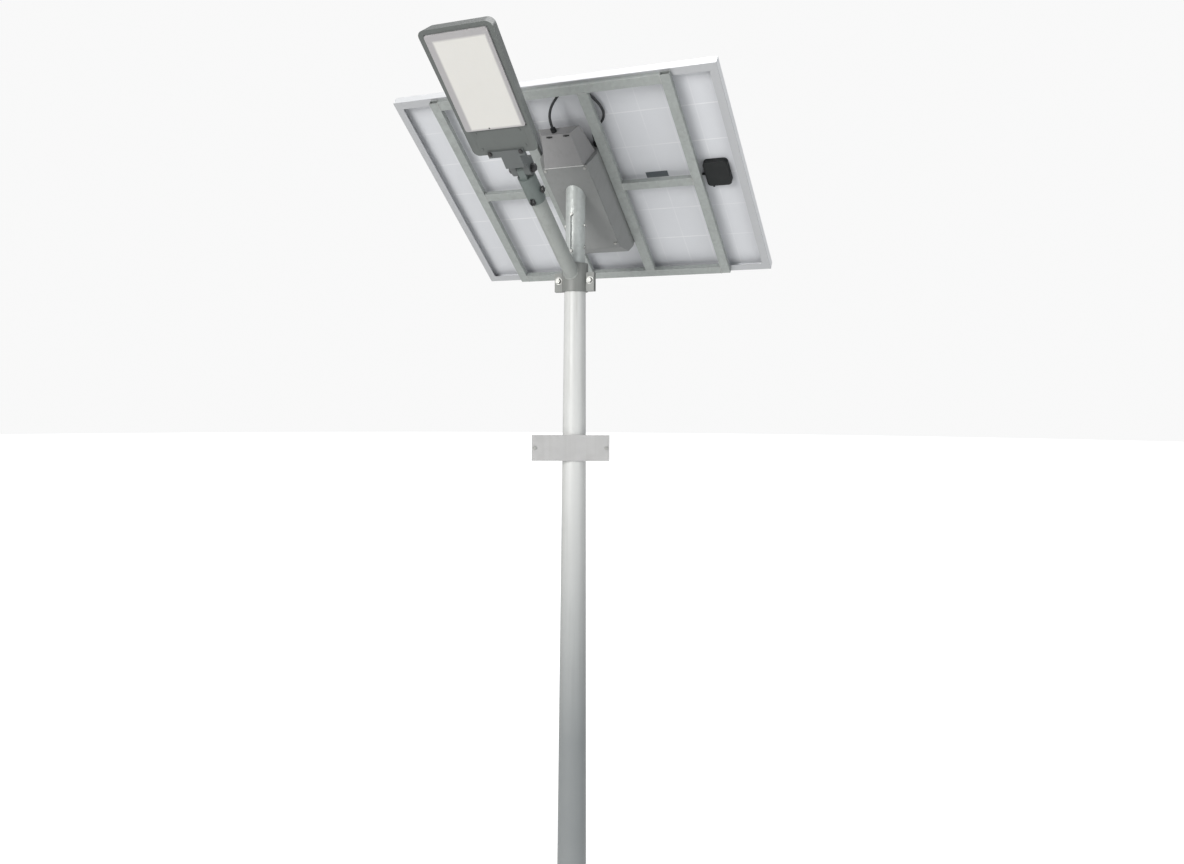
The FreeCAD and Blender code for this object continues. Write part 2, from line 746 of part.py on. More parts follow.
# The lamp socket slides over the arm's end and closes in a tongue for the tilt bolt.
socket_outside = arm_diameter + running_fit * 2 + socket_wall * 2
socket_body = cylinder(
    socket_outside, socket_end - socket_start, y=-socket_start, turn=ALONG_ARM
)
socket_bore = cylinder(
    arm_diameter + running_fit * 2,
    socket_end - socket_start - 8,
    y=-(socket_start - 0.5),
    turn=ALONG_ARM,
)
tongue_half = tongue_thick / 2
tongue_bar = box(
    (-tongue_half, tongue_half),
    (-pivot_reach, -(socket_end - 4)),
    (-knuckle_radius, knuckle_radius),
)
tongue_end = cylinder(
    knuckle_radius * 2, tongue_thick, -tongue_half, -pivot_reach, ZERO, turn=(1, 0, 0)
)
tongue_hole = cylinder(
    tilt_bolt_diameter + running_fit * 2,
    tongue_thick + 2,
    -tongue_half - 1,
    -pivot_reach,
    ZERO,
    turn=(1, 0, 0),
)
set_hole_low = cylinder(
    set_bolt, as_size(60), ZERO, -(socket_start + set_bolt_below), as_size(-60), turn=(0, 0, 1)
)
set_hole_side = cylinder(
    set_bolt, as_size(60), ZERO, -(socket_start + set_bolt_beside), ZERO, turn=(1, 0, 0)
)
socket_solid = fuse(socket_body, tongue_bar, tongue_end)
lamp_socket = cut(socket_solid, socket_bore, tongue_hole, set_hole_low, set_hole_side)
parts.append(seat(lamp_socket, "arm", "lamp_socket"))

set_length = socket_wall + 6
arm_skin = arm_diameter / 2 + 0.1
socket_bolts = [
    hex_bolt(
        (ZERO, -(socket_start + set_bolt_below), -(arm_skin + set_length)),
        (0, 0, 1),
        set_bolt,
        set_length,
    ),
    hex_bolt(
        (arm_skin + set_length, -(socket_start + set_bolt_beside), ZERO),
        (-1, 0, 0),
        set_bolt,
        set_length,
    ),
]
parts.append(seat(group(socket_bolts), "arm", "socket_bolts"))


# ---- Lamp head ----------------------------------------------------------------------------

head_front = head_rear + head_length
underside = -head_drop
skirt_top = underside + head_skirt
crown_top = skirt_top + head_crown


def head_section(inset):
    """Corners of the head's plan, drawn in by an inset on every side."""
    front, rear = -(head_front - inset), -(head_rear + inset)
    wide, narrow = head_front_width / 2 - inset, head_rear_width / 2 - inset
    return [
        (head_shift - wide, front),
        (head_shift + wide, front),
        (head_shift + narrow, rear),
        (head_shift - narrow, rear),
    ]


def tapered_tier(body, low, height, inset, draft, corner):
    """Pads one tier of the head with sloping sides and rounds its corners."""
    sketch = new_sketch(body, "XY_Plane", low)
    outline(sketch, head_section(inset))
    tier = pad(body, sketch, height)
    bind(tier, TaperAngle=-slope_angle(draft, height))
    doc.recompute()
    return round_edges(body, tier, UP, corner, tallest=low + height)


housing = new_body("lamp_housing")
tapered_tier(housing, underside, head_skirt, ZERO, skirt_draft, head_corner)
tapered_tier(housing, skirt_top, head_crown, skirt_draft + crown_ledge, crown_draft, crown_corner)
fin_back = head_rear + (head_length - fin_length) / 2
fin_sketch = new_sketch(housing, "XY_Plane", crown_top - 1)
for number in range(fin_count):
    middle = head_shift + fin_pitch * (number - (fin_count - 1) / 2)
    rectangle(
        fin_sketch,
        middle - fin_thick / 2,
        middle + fin_thick / 2,
        -(fin_back + fin_length),
        -fin_back,
    )
pad(housing, fin_sketch, fin_height + 1)
lens_front = lens_rear + lens_length
optic_sketch = new_sketch(housing, "XY_Plane", underside)
lens_half = lens_width / 2
rectangle(
    optic_sketch,
    head_shift - lens_half,
    head_shift + lens_half,
    -lens_front,
    -lens_rear,
)
pocket(housing, optic_sketch, optic_depth, reverse=True)
chamber_sketch = new_sketch(housing, "XY_Plane", underside)
rectangle(
    chamber_sketch,
    head_shift - lens_half + chamber_inset,
    head_shift + lens_half - chamber_inset,
    -(lens_front - chamber_inset),
    -(lens_rear + optic_margin * 2),
)
pocket(housing, chamber_sketch, head_skirt + head_crown - head_roof, reverse=True)
bay_rear = head_rear + bay_rear_wall
bay_front = bay_rear + bay_length
bay_sketch = new_sketch(housing, "XY_Plane", underside)
bay_half = bay_width / 2
rectangle(bay_sketch, head_shift - bay_half, head_shift + bay_half, -bay_front, -bay_rear)
pocket(housing, bay_sketch, bay_depth, reverse=True)
rebate_sketch = new_sketch(housing, "XY_Plane", underside)
rebate_half = bay_half + cover_lap
rectangle(
    rebate_sketch,
    head_shift - rebate_half,
    head_shift + rebate_half,
    -(bay_front + cover_lap),
    -(bay_rear - cover_lap),
)
pocket(housing, rebate_sketch, cover_thick, reverse=True)
bracket_bolt_reach = flange_width / 2 - bracket_bolt_side
flange_front = head_rear + flange_lap
screw_sketch = new_sketch(housing, "XY_Plane", underside)
for side in (-1, 1):
    circle(
        screw_sketch,
        head_shift + bracket_bolt_reach * side,
        -(flange_front - bracket_bolt_edge),
        bracket_bolt,
    )
pocket(housing, screw_sketch, 14, reverse=True)
parts.append(seat(housing, "lamp", "lamp_housing"))

# Lens: a shallow opal tray that stands proud of the underside, held on a gasket.
lens = new_body("lens")
lens_sketch = new_sketch(lens, "XY_Plane", underside - lens_proud)
rectangle(
    lens_sketch,
    head_shift - lens_half + lens_fit,
    head_shift + lens_half - lens_fit,
    -(lens_front - lens_fit),
    -(lens_rear + lens_fit),
)
lens_block = pad(lens, lens_sketch, lens_proud + lens_seat)
round_edges(lens, lens_block, UP, lens_corner)
hollow = new_sketch(lens, "XY_Plane", underside + lens_seat)
lens_inner = lens_half - lens_thick - lens_flange
rectangle(
    hollow,
    head_shift - lens_inner,
    head_shift + lens_inner,
    -(lens_front - lens_thick - lens_flange),
    -(lens_rear + lens_thick + lens_flange),
)
pocket(lens, hollow, lens_proud + lens_seat - lens_thick)
parts.append(seat(lens, "lamp", "lens"))

gasket = new_body("lens_gasket")
gasket_sketch = new_sketch(gasket, "XY_Plane", underside + lens_seat)
rectangle(
    gasket_sketch,
    head_shift - lens_half + gasket_gap,
    head_shift + lens_half - gasket_gap,
    -(lens_front - gasket_gap),
    -(lens_rear + gasket_gap),
)
rectangle(
    gasket_sketch,
    head_shift - lens_inner,
    head_shift + lens_inner,
    -(lens_front - lens_thick - lens_flange),
    -(lens_rear + lens_thick + lens_flange),
)
pad(gasket, gasket_sketch, gasket_thick)
parts.append(seat(gasket, "lamp", "lens_gasket"))

board_low = underside + optic_depth - board_thick
parts.append(
    slab(
        "led_board",
        "lamp",
        (head_shift - lens_half + optic_margin, head_shift + lens_half - optic_margin),
        (-(lens_front - optic_margin), -(lens_rear + optic_margin)),
        (board_low, underside + optic_depth),
    )
)
lens_middle = lens_rear + lens_length / 2
chips = []
for column in range(led_columns):
    for row in range(led_rows):
        x = head_shift + led_pitch_across * (row - (led_rows - 1) / 2)
        y = -lens_middle + led_pitch_along * (column - (led_columns - 1) / 2)
        chips.append(
            box(
                (x - led_side / 2, x + led_side / 2),
                (y - led_side / 2, y + led_side / 2),
                (board_low - led_thick, board_low),
            )
        )
parts.append(seat(group(chips), "lamp", "led_chips"))

parts.append(
    slab(
        "led_driver",
        "lamp",
        (head_shift - bay_half + driver_side_gap, head_shift + bay_half - driver_side_gap),
        (-(bay_front - driver_end_gap), -(bay_rear + driver_end_gap)),
        (underside + bay_depth - driver_height, underside + bay_depth),
        corner=as_size(3),
    )
)
cover_holes = []
for side_x in (-1, 1):
    screw_x = head_shift + (bay_half - cover_screw_side) * side_x
    for row_y in (
        bay_rear - cover_lap / 2 + cover_screw_end,
        bay_front + cover_lap / 2 - cover_screw_end,
    ):
        cover_holes.append((screw_x, -row_y, cover_screw))
parts.append(
    slab(
        "driver_cover",
        "lamp",
        (head_shift - rebate_half + cover_fit, head_shift + rebate_half - cover_fit),
        (-(bay_front + cover_lap - cover_fit), -(bay_rear - cover_lap + cover_fit)),
        (underside, underside + cover_thick),
        cover_holes,
    )
)
cover_screws = []
for x, y, diameter in cover_holes:
    cover_screws.append(hex_bolt((x, y, underside), (0, 0, 1), diameter, cover_thick + 3))
parts.append(seat(group(cover_screws), "lamp", "cover_screws"))

# The tilt bracket hangs on the tilt bolt by two ears and is bolted under the head's rear.
cheek_gap = tongue_half + sheet_gap
cheek_outer = cheek_gap + cheek_thick
block_rear = knuckle_radius + 12
bracket_low = underside - flange_thick
pieces = [
    box(
        (-cheek_outer, cheek_outer),
        (-(head_rear - 2), -block_rear),
        (bracket_low, underside + 40),
    ),
    box(
        (head_shift - flange_width / 2, head_shift + flange_width / 2),
        (-flange_front, -(head_rear - 10)),
        (bracket_low, underside - 0.2),
    ),
]
for side in (-1, 1):
    near, far = cheek_gap * side, cheek_outer * side
    low, high = (far, near) if side < 0 else (near, far)
    pieces.append(box((low, high), (-block_rear - 1, ZERO), (-knuckle_radius, knuckle_radius)))
    pieces.append(
        cylinder(knuckle_radius * 2, cheek_thick, low, ZERO, ZERO, turn=(1, 0, 0))
    )
bracket_tools = [
    cylinder(
        tilt_bolt_diameter,
        cheek_outer * 2 + 2,
        -cheek_outer - 1,
        ZERO,
        ZERO,
        turn=(1, 0, 0),
    )
]
for side in (-1, 1):
    bracket_tools.append(
        cylinder(
            bracket_bolt,
            as_size(30),
            head_shift + bracket_bolt_reach * side,
            -(flange_front - bracket_bolt_edge),
            bracket_low - 5,
        )
    )
parts.append(seat(cut(fuse(*pieces), *bracket_tools), "lamp", "tilt_bracket"))
bracket_bolts = []
for side in (-1, 1):
    y = -(flange_front - bracket_bolt_edge)
    place = (head_shift + bracket_bolt_reach * side, y, bracket_low)
    bracket_bolts.append(hex_bolt(place, (0, 0, 1), bracket_bolt, flange_thick + 11))
parts.append(seat(group(bracket_bolts), "lamp", "bracket_bolts"))
tilt_bolt = hex_bolt(
    (cheek_outer, ZERO, ZERO),
    (-1, 0, 0),
    tilt_bolt_diameter,
    cheek_outer * 2 + tilt_bolt_diameter,
    nut_at=cheek_outer * 2,
)
parts.append(seat(group([tilt_bolt]), "lamp", "tilt_bolt"))


# ---- Mast and battery box -----------------------------------------------------------------

# The mast sleeve turns on the spigot; its top is cut to the slope of the saddle plate.
mast_low = journal_top + sheet_gap
mast_bore = spigot_diameter + running_fit * 2
mast_long = panel_height + 200 - mast_low
tube = cylinder(mast_diameter, mast_long, z=mast_low)
hole = cylinder(mast_bore, mast_long + 2, z=mast_low - 1)
above = seat(
    group([box((-far_reach, far_reach), (-far_reach * 2, far_reach * 2), (-box_drop, far_reach * 2))]),
    "module",
    "above_saddle",
)
slot = box(
    (-slot_width / 2, slot_width / 2),
    (-mast_diameter, ZERO),
    (panel_height - slot_low - slot_width / 2, panel_height - slot_high + slot_width / 2),
)
side_holes = []
for drop in (set_bolt_high, set_bolt_low):
    side_holes.append(
        cylinder(
            mast_bolt_diameter,
            mast_diameter * 2,
            -mast_diameter,
            ZERO,
            panel_height - drop,
            turn=(1, 0, 0),
        )
    )
parts.append(seat(cut(tube, hole, above, slot, *side_holes), "ground", "mast_sleeve"))

mast_skin = mast_diameter / 2
bolt_long = mast_skin - spigot_diameter / 2 - sheet_gap
mast_bolts = []
for drop in (slot_high, slot_low):
    place = (ZERO, -mast_skin, panel_height - drop)
    mast_bolts.append(hex_bolt(place, (0, 1, 0), mast_bolt_diameter, bolt_long))
for side in (-1, 1):
    for drop in (set_bolt_high, set_bolt_low):
        place = (mast_skin * side, ZERO, panel_height - drop)
        mast_bolts.append(hex_bolt(place, (-side, 0, 0), mast_bolt_diameter, bolt_long))
parts.append(seat(group(mast_bolts), "ground", "mast_bolts"))


def box_plan(half, front, back):
    return [(-half, -front), (half, -front), (half, back), (-half, back)]


box_middle_half = box_bottom_half + (box_top_half - box_bottom_half) * (
    (box_drop - box_bevel_drop) / (box_drop - box_shoulder)
)
saddle_top = -(box_drop - saddle_thick)
screw_inset = as_size(12)
saddle_holes = []
for side in (-1, 1):
    for y in (-(box_front - screw_inset), box_bottom_back - screw_inset * 2):
        saddle_holes.append(((box_bottom_half - screw_inset) * side, y, as_size(6)))
parts.append(
    slab(
        "saddle_plate",
        "module",
        (-box_bottom_half, box_bottom_half),
        (-box_front, box_bottom_back),
        (-box_drop, saddle_top),
        saddle_holes,
    )
)
shell = new_body("battery_box_shell")
loft(
    shell,
    "AdditiveLoft",
    [
        (saddle_top, box_plan(box_bottom_half, box_front, box_bottom_back)),
        (-box_bevel_drop, box_plan(box_middle_half, box_front, box_back - 2)),
        (-box_shoulder, box_plan(box_top_half, box_front, box_back)),
    ],
)
loft(
    shell,
    "SubtractiveLoft",
    [
        (
            saddle_top,
            box_plan(box_bottom_half - box_wall, box_front - box_wall, box_bottom_back - box_wall),
        ),
        (
            -box_bevel_drop,
            box_plan(box_middle_half - box_wall, box_front - box_wall, box_back - 2 - box_wall),
        ),
        (
            -box_shoulder,
            box_plan(box_top_half - box_wall, box_front - box_wall, box_back - box_wall),
        ),
    ],
)
parts.append(seat(shell, "module", "battery_box_shell"))

tray = new_body("battery_tray")
tray_sketch = new_sketch(tray, "XY_Plane", -box_shoulder)
rectangle(tray_sketch, -box_top_half, box_top_half, -box_front, box_back)
pad(tray, tray_sketch, box_shoulder + tray_rise)
tray_hollow = new_sketch(tray, "XY_Plane", -box_shoulder)
rectangle(
    tray_hollow,
    -box_top_half + box_wall,
    box_top_half - box_wall,
    -box_front + box_wall,
    box_back - box_wall,
)
pocket(tray, tray_hollow, box_shoulder + tray_rise - box_wall, reverse=True)
parts.append(seat(tray, "module", "battery_tray"))

parts.append(
    slab(
        "battery_pack",
        "module",
        (-pack_half, pack_half),
        (-pack_front, pack_back),
        (saddle_top + pack_clear + 4, tray_rise - box_wall - pack_clear),
        corner=as_size(6),
    )
)


# ---- Control box --------------------------------------------------------------------------

# A wedge-shaped case against the box's front wall; its sloping underside is the lid.
def control_section(body, kind, inset, low_lift, top):
    """Lofts between the case's front and back faces, drawn in by an inset on its sides."""
    sketches = []
    faces = (
        (control_front_low - inset, control_front_half, control_front_drop),
        (box_front + inset, control_back_half, box_drop),
    )
    for reach, half, drop in faces:
        sketch = new_sketch(body, "XZ_Plane", reach)
        low, high = half - inset, half + control_flare - inset
        bottom = -drop + low_lift
        outline(sketch, [(-low, bottom), (low, bottom), (high, top), (-high, top)])
        sketches.append(sketch)
    feature = body.newObject("PartDesign::" + kind, body.Name + "_loft")
    feature.Profile = sketches[0]
    feature.Sections = sketches[1:]
    feature.Ruled = True
    doc.recompute()


control = new_body("control_box_shell")
control_section(control, "AdditiveLoft", ZERO, control_lid_thick, -rail_depth)
control_section(control, "SubtractiveLoft", box_wall, ZERO, -(rail_depth + box_wall))
parts.append(seat(control, "module", "control_box_shell"))

lid = new_body("control_box_lid")
lid_sketches = []
for reach, half, drop in (
    (control_front_low, control_front_half, control_front_drop),
    (box_front, control_back_half, box_drop),
):
    sketch = new_sketch(lid, "XZ_Plane", reach)
    rectangle(sketch, -half, half, -drop, -drop + control_lid_thick)
    lid_sketches.append(sketch)
lid_loft = lid.newObject("PartDesign::AdditiveLoft", "control_lid_loft")
lid_loft.Profile = lid_sketches[0]
lid_loft.Sections = lid_sketches[1:]
lid_loft.Ruled = True
doc.recompute()
parts.append(seat(lid, "module", "control_box_lid"))

parts.append(
    slab(
        "controller_board",
        "module",
        (as_size(-40), as_size(40)),
        (-(control_front_low - 25), -(box_front + 20)),
        (-(rail_depth + box_wall + 12), -(rail_depth + box_wall + 10)),
    )
)
box_screws = []
for x, y, diameter in saddle_holes:
    box_screws.append(hex_bolt((x, y, -box_drop), (0, 0, 1), diameter, saddle_thick + 6))
parts.append(seat(group(box_screws), "module", "box_screws"))


# ---- Support rack -------------------------------------------------------------------------

half_rack = rack_width / 2
half_long = rack_length / 2
rail_low, rail_high = -rail_depth, ZERO
inner_near = inner_rail_shift - inner_rail_width / 2
inner_far = inner_rail_shift + inner_rail_width / 2
deep = (rail_low, rail_high)
for label, side in (("rail_left", -1), ("rail_right", 1)):
    edge, inside = half_rack * side, (half_rack - rail_width) * side
    xs = (edge, inside) if side < 0 else (inside, edge)
    parts.append(rail(label, "Y", xs, (-half_long, half_long), deep, rail_wall))
across = (-(half_rack - rail_width), half_rack - rail_width)
bolt_line = (module_length / 2 - frame_flange + half_long) / 2
for label, side in (("rail_front", -1), ("rail_back", 1)):
    edge, inside = half_long * side, (half_long - rail_width) * side
    ys = (edge, inside) if side < 0 else (inside, edge)
    holes = [(module_bolt_shift * end, bolt_line * side, module_bolt_hole) for end in (-1, 1)]
    parts.append(rail(label, "X", across, ys, deep, rail_wall, holes))
between = (-(half_long - rail_width), half_long - rail_width)
for label, side in (("rail_inner_left", -1), ("rail_inner_right", 1)):
    xs = (-inner_far, -inner_near) if side < 0 else (inner_near, inner_far)
    parts.append(rail(label, "Y", xs, between, deep, rail_wall))
cross = (cross_shift - rail_width / 2, cross_shift + rail_width / 2)
for label, xs in (
    ("cross_rail_left", (across[0], -inner_far)),
    ("cross_rail_right", (inner_far, across[1])),
):
    parts.append(rail(label, "X", xs, cross, deep, rail_wall))

# Four cleats fix the battery tray's walls to the inner rails.
cleats = []
for side in (-1, 1):
    for y in (-(box_front - 40), box_back - 40):
        near, far = box_top_half * side, inner_near * side
        xs = (far, near) if side < 0 else (near, far)
        cleats.append(box(xs, (y - 15, y + 15), (rail_low + 4, rail_high - 4)))
parts.append(seat(group(cleats), "module", "tray_cleats"))


# ---- Solar module -------------------------------------------------------------------------

half_width = module_width / 2
half_length = module_length / 2
glass_high = frame_height - frame_skin
glass_low = glass_high - glass_thick
cell_low = glass_low - cell_thick
back_low = cell_low - backsheet_thick


def frame_bar(label, along, side):
    """One side of the module frame: an outer wall, a lower flange and a groove for the glass."""
    body = new_body(label)
    across_bar = along == "X"
    outer = half_length if across_bar else half_width
    reach = half_width - frame_wall if across_bar else half_length
    sketch = new_sketch(body, "YZ_Plane" if across_bar else "XZ_Plane", -reach)
    section = [
        (outer, ZERO),
        (outer, frame_height),
        (outer - frame_lip, frame_height),
        (outer - frame_lip, glass_high),
        (outer - frame_wall, glass_high),
        (outer - frame_wall, back_low),
        (outer - frame_lip, back_low),
        (outer - frame_lip, back_low - frame_skin),
        (outer - frame_wall, back_low - frame_skin),
        (outer - frame_wall, frame_skin),
        (outer - frame_flange, frame_skin),
        (outer - frame_flange, ZERO),
    ]
    outline(sketch, [(x * side, z) for x, z in section])
    pad(body, sketch, reach * 2)
    if across_bar:
        drilled = new_sketch(body, "XY_Plane")
        for end in (-1, 1):
            circle(drilled, module_bolt_shift * end, bolt_line * side, module_bolt_hole)
        pocket(body, drilled, frame_skin, reverse=True)
    else:
        for end in (-1, 1):
            notch = new_sketch(body, "XY_Plane")
            near = (half_length - frame_flange) * end
            far = half_length * end
            ys = (far, near) if end < 0 else (near, far)
            xs = (half_width - frame_flange - 1) * side, (half_width - frame_wall) * side
            xs = xs if side > 0 else (xs[1], xs[0])
            rectangle(notch, xs[0], xs[1], ys[0], ys[1])
            pocket(body, notch, frame_height, reverse=True)
    return seat(body, "module", label)


parts.append(frame_bar("frame_front", "X", -1))
parts.append(frame_bar("frame_back", "X", 1))
parts.append(frame_bar("frame_left", "Y", -1))
parts.append(frame_bar("frame_right", "Y", 1))
sheet_half_x = half_width - frame_wall
sheet_half_y = half_length - frame_wall
for label, zs in (("backsheet", (back_low, cell_low)), ("glass", (glass_low, glass_high))):
    xs, ys = (-sheet_half_x, sheet_half_x), (-sheet_half_y, sheet_half_y)
    parts.append(slab(label, "module", xs, ys, zs))
cells = []
for column in range(cell_columns):
    for row in range(cell_rows):
        x = (cell_width + cell_gap) * (column - (cell_columns - 1) / 2)
        y = (cell_length + cell_gap) * (row - (cell_rows - 1) / 2)
        xs = (x - cell_width / 2, x + cell_width / 2)
        ys = (y - cell_length / 2, y + cell_length / 2)
        cells.append(box(xs, ys, (cell_low, glass_low)))
parts.append(seat(group(cells), "module", "solar_cells"))

junction_x = (junction_shift - junction_width / 2, junction_shift + junction_width / 2)
junction_y = (junction_back - junction_length / 2, junction_back + junction_length / 2)
junction_top = back_low - junction_base_thick
parts.append(
    slab(
        "junction_box_base",
        "module",
        junction_x,
        junction_y,
        (junction_top, back_low),
        corner=junction_corner,
    )
)
parts.append(
    slab(
        "junction_box_lid",
        "module",
        junction_x,
        junction_y,
        (junction_top - junction_lid_thick - sheet_gap, junction_top - sheet_gap),
        corner=junction_corner,
    )
)
label_x = (label_shift - label_width / 2, label_shift + label_width / 2)
label_y = (label_back - label_length / 2, label_back + label_length / 2)
parts.append(
    slab("rating_label", "module", label_x, label_y, (back_low - label_thick, back_low))
)
# Four bolts clamp the frame's front and back flanges to the rack; their nuts are in the rails.
module_bolts = []
grip = rail_wall + frame_skin
for side in (-1, 1):
    for end in (-1, 1):
        place = (module_bolt_shift * end, bolt_line * side, frame_skin)
        reach = grip + module_bolt
        module_bolts.append(hex_bolt(place, (0, 0, -1), module_bolt, reach, nut_at=grip))
parts.append(seat(group(module_bolts), "module", "module_bolts"))


# ---- Panel cable --------------------------------------------------------------------------

# The cable leaves the control box's front, loops over the front rail and the right inner
# rail, and ends in the gland on the tray's front wall. Its points stay as chosen.
cord_points = [
    (-12, -334, -42),
    (-12, -372, -42),
    (-1, -408, -16),
    (36, -440, 8),
    (66, -464, 14),
    (100, -462, 14),
    (140, -436, 14),
    (168, -392, 14),
    (182, -340, 14),
    (160, -296, 14),
    (104, -266, 12),
    (104, -212, 12),
]


def cord_path(points):
    """Straight runs joined by tangent arcs that take 0.45 of the shorter run."""
    corners = [FreeCAD.Vector(*point) for point in points]
    edges = []
    start = corners[0]
    for before, corner, after in zip(corners, corners[1:], corners[2:]):
        back = (before - corner).normalize()
        ahead = (after - corner).normalize()
        reach = 0.45 * min((before - corner).Length, (after - corner).Length)
        half_turn = (math.pi - back.getAngle(ahead)) / 2
        radius = reach / math.tan(half_turn)
        print("cable bend radius", round(radius, 1))
        inward = (back + ahead).normalize()
        middle = corner + inward * (radius / math.cos(half_turn) - radius)
        edges.append(Part.LineSegment(start, corner + back * reach).toShape())
        arc = Part.Arc(corner + back * reach, middle, corner + ahead * reach)
        edges.append(arc.toShape())
        start = corner + ahead * reach
    edges.append(Part.LineSegment(start, corners[-1]).toShape())
    return Part.Wire(edges)


path = cord_path(cord_points)
first = FreeCAD.Vector(*cord_points[0])
heading = FreeCAD.Vector(*cord_points[1]) - first
ring = Part.Wire(Part.makeCircle(sheet.get("cord_diameter") / 2, first, heading))
cord = doc.addObject("Part::Feature", "panel_cable_tube")
cord.Shape = path.makePipeShell([ring], True, True)
section = math.pi * sheet.get("cord_diameter") ** 2 / 4
print("cable length", round(path.Length, 1))
print("cable volume over section times length", round(cord.Shape.Volume / section / path.Length, 4))
parts.append(seat(cord, "module", "panel_cable"))

front_gland = cylinder(
    gland_diameter,
    gland_length,
    as_size(cord_points[0][0]),
    -control_front_low,
    as_size(cord_points[0][2]),
    turn=(0, -1, 0),
)
tray_gland = cylinder(
    gland_diameter,
    gland_length,
    as_size(cord_points[-1][0]),
    -box_front,
    as_size(cord_points[-1][2]),
    turn=(0, -1, 0),
)
parts.append(seat(group([front_gland, tray_gland]), "module", "cable_glands"))


# ---- Check and write ----------------------------------------------------------------------

doc.recompute()
for item in doc.Objects:
    if "Invalid" in item.State or "Error" in item.State:
        raise RuntimeError(f"{item.Name} ({item.Label}) did not rebuild: {item.State}")
os.makedirs("parts", exist_ok=True)
for item in parts:
    shape = item.Shape
    if shape.isNull() or not shape.isValid() or not shape.Solids:
        raise RuntimeError(f"{item.Label} has no sound solid")
    shape.exportStep(f"parts/{item.Label}.step")
print(len(parts), "sub-parts written")
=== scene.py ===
"""Looks of the solar street lamp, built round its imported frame. Metres, Z up, ground at zero."""

import math

import bmesh
import bpy
from mathutils import Matrix, Vector


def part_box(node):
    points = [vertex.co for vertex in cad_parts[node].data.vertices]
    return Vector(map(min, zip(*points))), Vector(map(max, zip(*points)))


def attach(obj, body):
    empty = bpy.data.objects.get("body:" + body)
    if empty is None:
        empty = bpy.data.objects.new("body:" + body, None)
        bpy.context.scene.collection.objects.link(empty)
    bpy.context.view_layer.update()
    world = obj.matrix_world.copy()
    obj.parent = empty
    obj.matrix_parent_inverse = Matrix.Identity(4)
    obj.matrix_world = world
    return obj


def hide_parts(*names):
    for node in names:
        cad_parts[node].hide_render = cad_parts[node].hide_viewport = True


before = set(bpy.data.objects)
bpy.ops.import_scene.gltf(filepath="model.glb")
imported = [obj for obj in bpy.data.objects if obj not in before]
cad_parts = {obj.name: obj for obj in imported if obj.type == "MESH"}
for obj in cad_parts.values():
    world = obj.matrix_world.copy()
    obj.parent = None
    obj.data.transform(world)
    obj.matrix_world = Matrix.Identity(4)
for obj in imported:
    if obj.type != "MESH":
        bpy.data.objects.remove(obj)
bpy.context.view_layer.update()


# ---- Studio -------------------------------------------------------------------------------
# A pale floor that runs out of sight, a white sky for even light, and two large soft lamps.
# The camera stands in front of the pole, to its right, a little above the sign plate.

sky = bpy.data.worlds.new("studio_sky")
bpy.context.scene.world = sky
sky.use_nodes = True
sky_nodes, sky_links = sky.node_tree.nodes, sky.node_tree.links
sky_nodes.clear()
sky_seen = sky_nodes.new("ShaderNodeBackground")
sky_seen.inputs["Color"].default_value = (1.0, 1.0, 1.0, 1)
sky_seen.inputs["Strength"].default_value = 0.945
sky_light = sky_nodes.new("ShaderNodeBackground")
sky_light.inputs["Color"].default_value = (0.97, 0.985, 1.0, 1)
sky_light.inputs["Strength"].default_value = 0.42
sky_choice = sky_nodes.new("ShaderNodeMixShader")
sky_ray = sky_nodes.new("ShaderNodeLightPath")
sky_out = sky_nodes.new("ShaderNodeOutputWorld")
sky_links.new(sky_ray.outputs["Is Camera Ray"], sky_choice.inputs[0])
sky_links.new(sky_light.outputs[0], sky_choice.inputs[1])
sky_links.new(sky_seen.outputs[0], sky_choice.inputs[2])
sky_links.new(sky_choice.outputs[0], sky_out.inputs["Surface"])


def studio_lamp(name, place, target, width, watts, tint):
    """A large square soft lamp aimed at a point."""
    data = bpy.data.lights.new(name, "AREA")
    data.shape = "SQUARE"
    data.size = width
    data.energy = watts
    data.color = tint
    lamp = bpy.data.objects.new(name, data)
    bpy.context.scene.collection.objects.link(lamp)
    aim = Vector(target) - Vector(place)
    turn = aim.to_track_quat("-Z", "Y").to_matrix().to_4x4()
    lamp.matrix_world = Matrix.Translation(place) @ turn


studio_lamp("key_lamp", (-1.8, -7.0, 4.6), (0, 0, 3.0), 3.0, 400, (1.0, 0.99, 0.975))
studio_lamp("fill_lamp", (6.0, -3.0, 3.0), (0, 0, 3.4), 4.0, 90, (0.95, 0.98, 1.0))
studio_lamp("top_lamp", (1.0, 2.0, 9.5), (0, 0, 0), 7.0, 420, (1.0, 1.0, 1.0))

floor_mesh = bpy.data.meshes.new("studio_floor")
floor_bm = bmesh.new()
bmesh.ops.create_circle(floor_bm, cap_ends=True, segments=96, radius=90)
bmesh.ops.translate(floor_bm, vec=(0, 0, -0.0005), verts=floor_bm.verts)
floor_bm.to_mesh(floor_mesh)
floor_bm.free()
floor = bpy.data.objects.new("studio_floor", floor_mesh)
bpy.context.scene.collection.objects.link(floor)
floor_paint = bpy.data.materials.new("studio_floor_paint")
floor_paint.use_nodes = True
floor_bsdf = floor_paint.node_tree.nodes["Principled BSDF"]
floor_bsdf.inputs["Base Color"].default_value = (0.93, 0.93, 0.92, 1)
floor_bsdf.inputs["Roughness"].default_value = 0.9
floor_bsdf.inputs["Emission Color"].default_value = (1.0, 1.0, 1.0, 1)
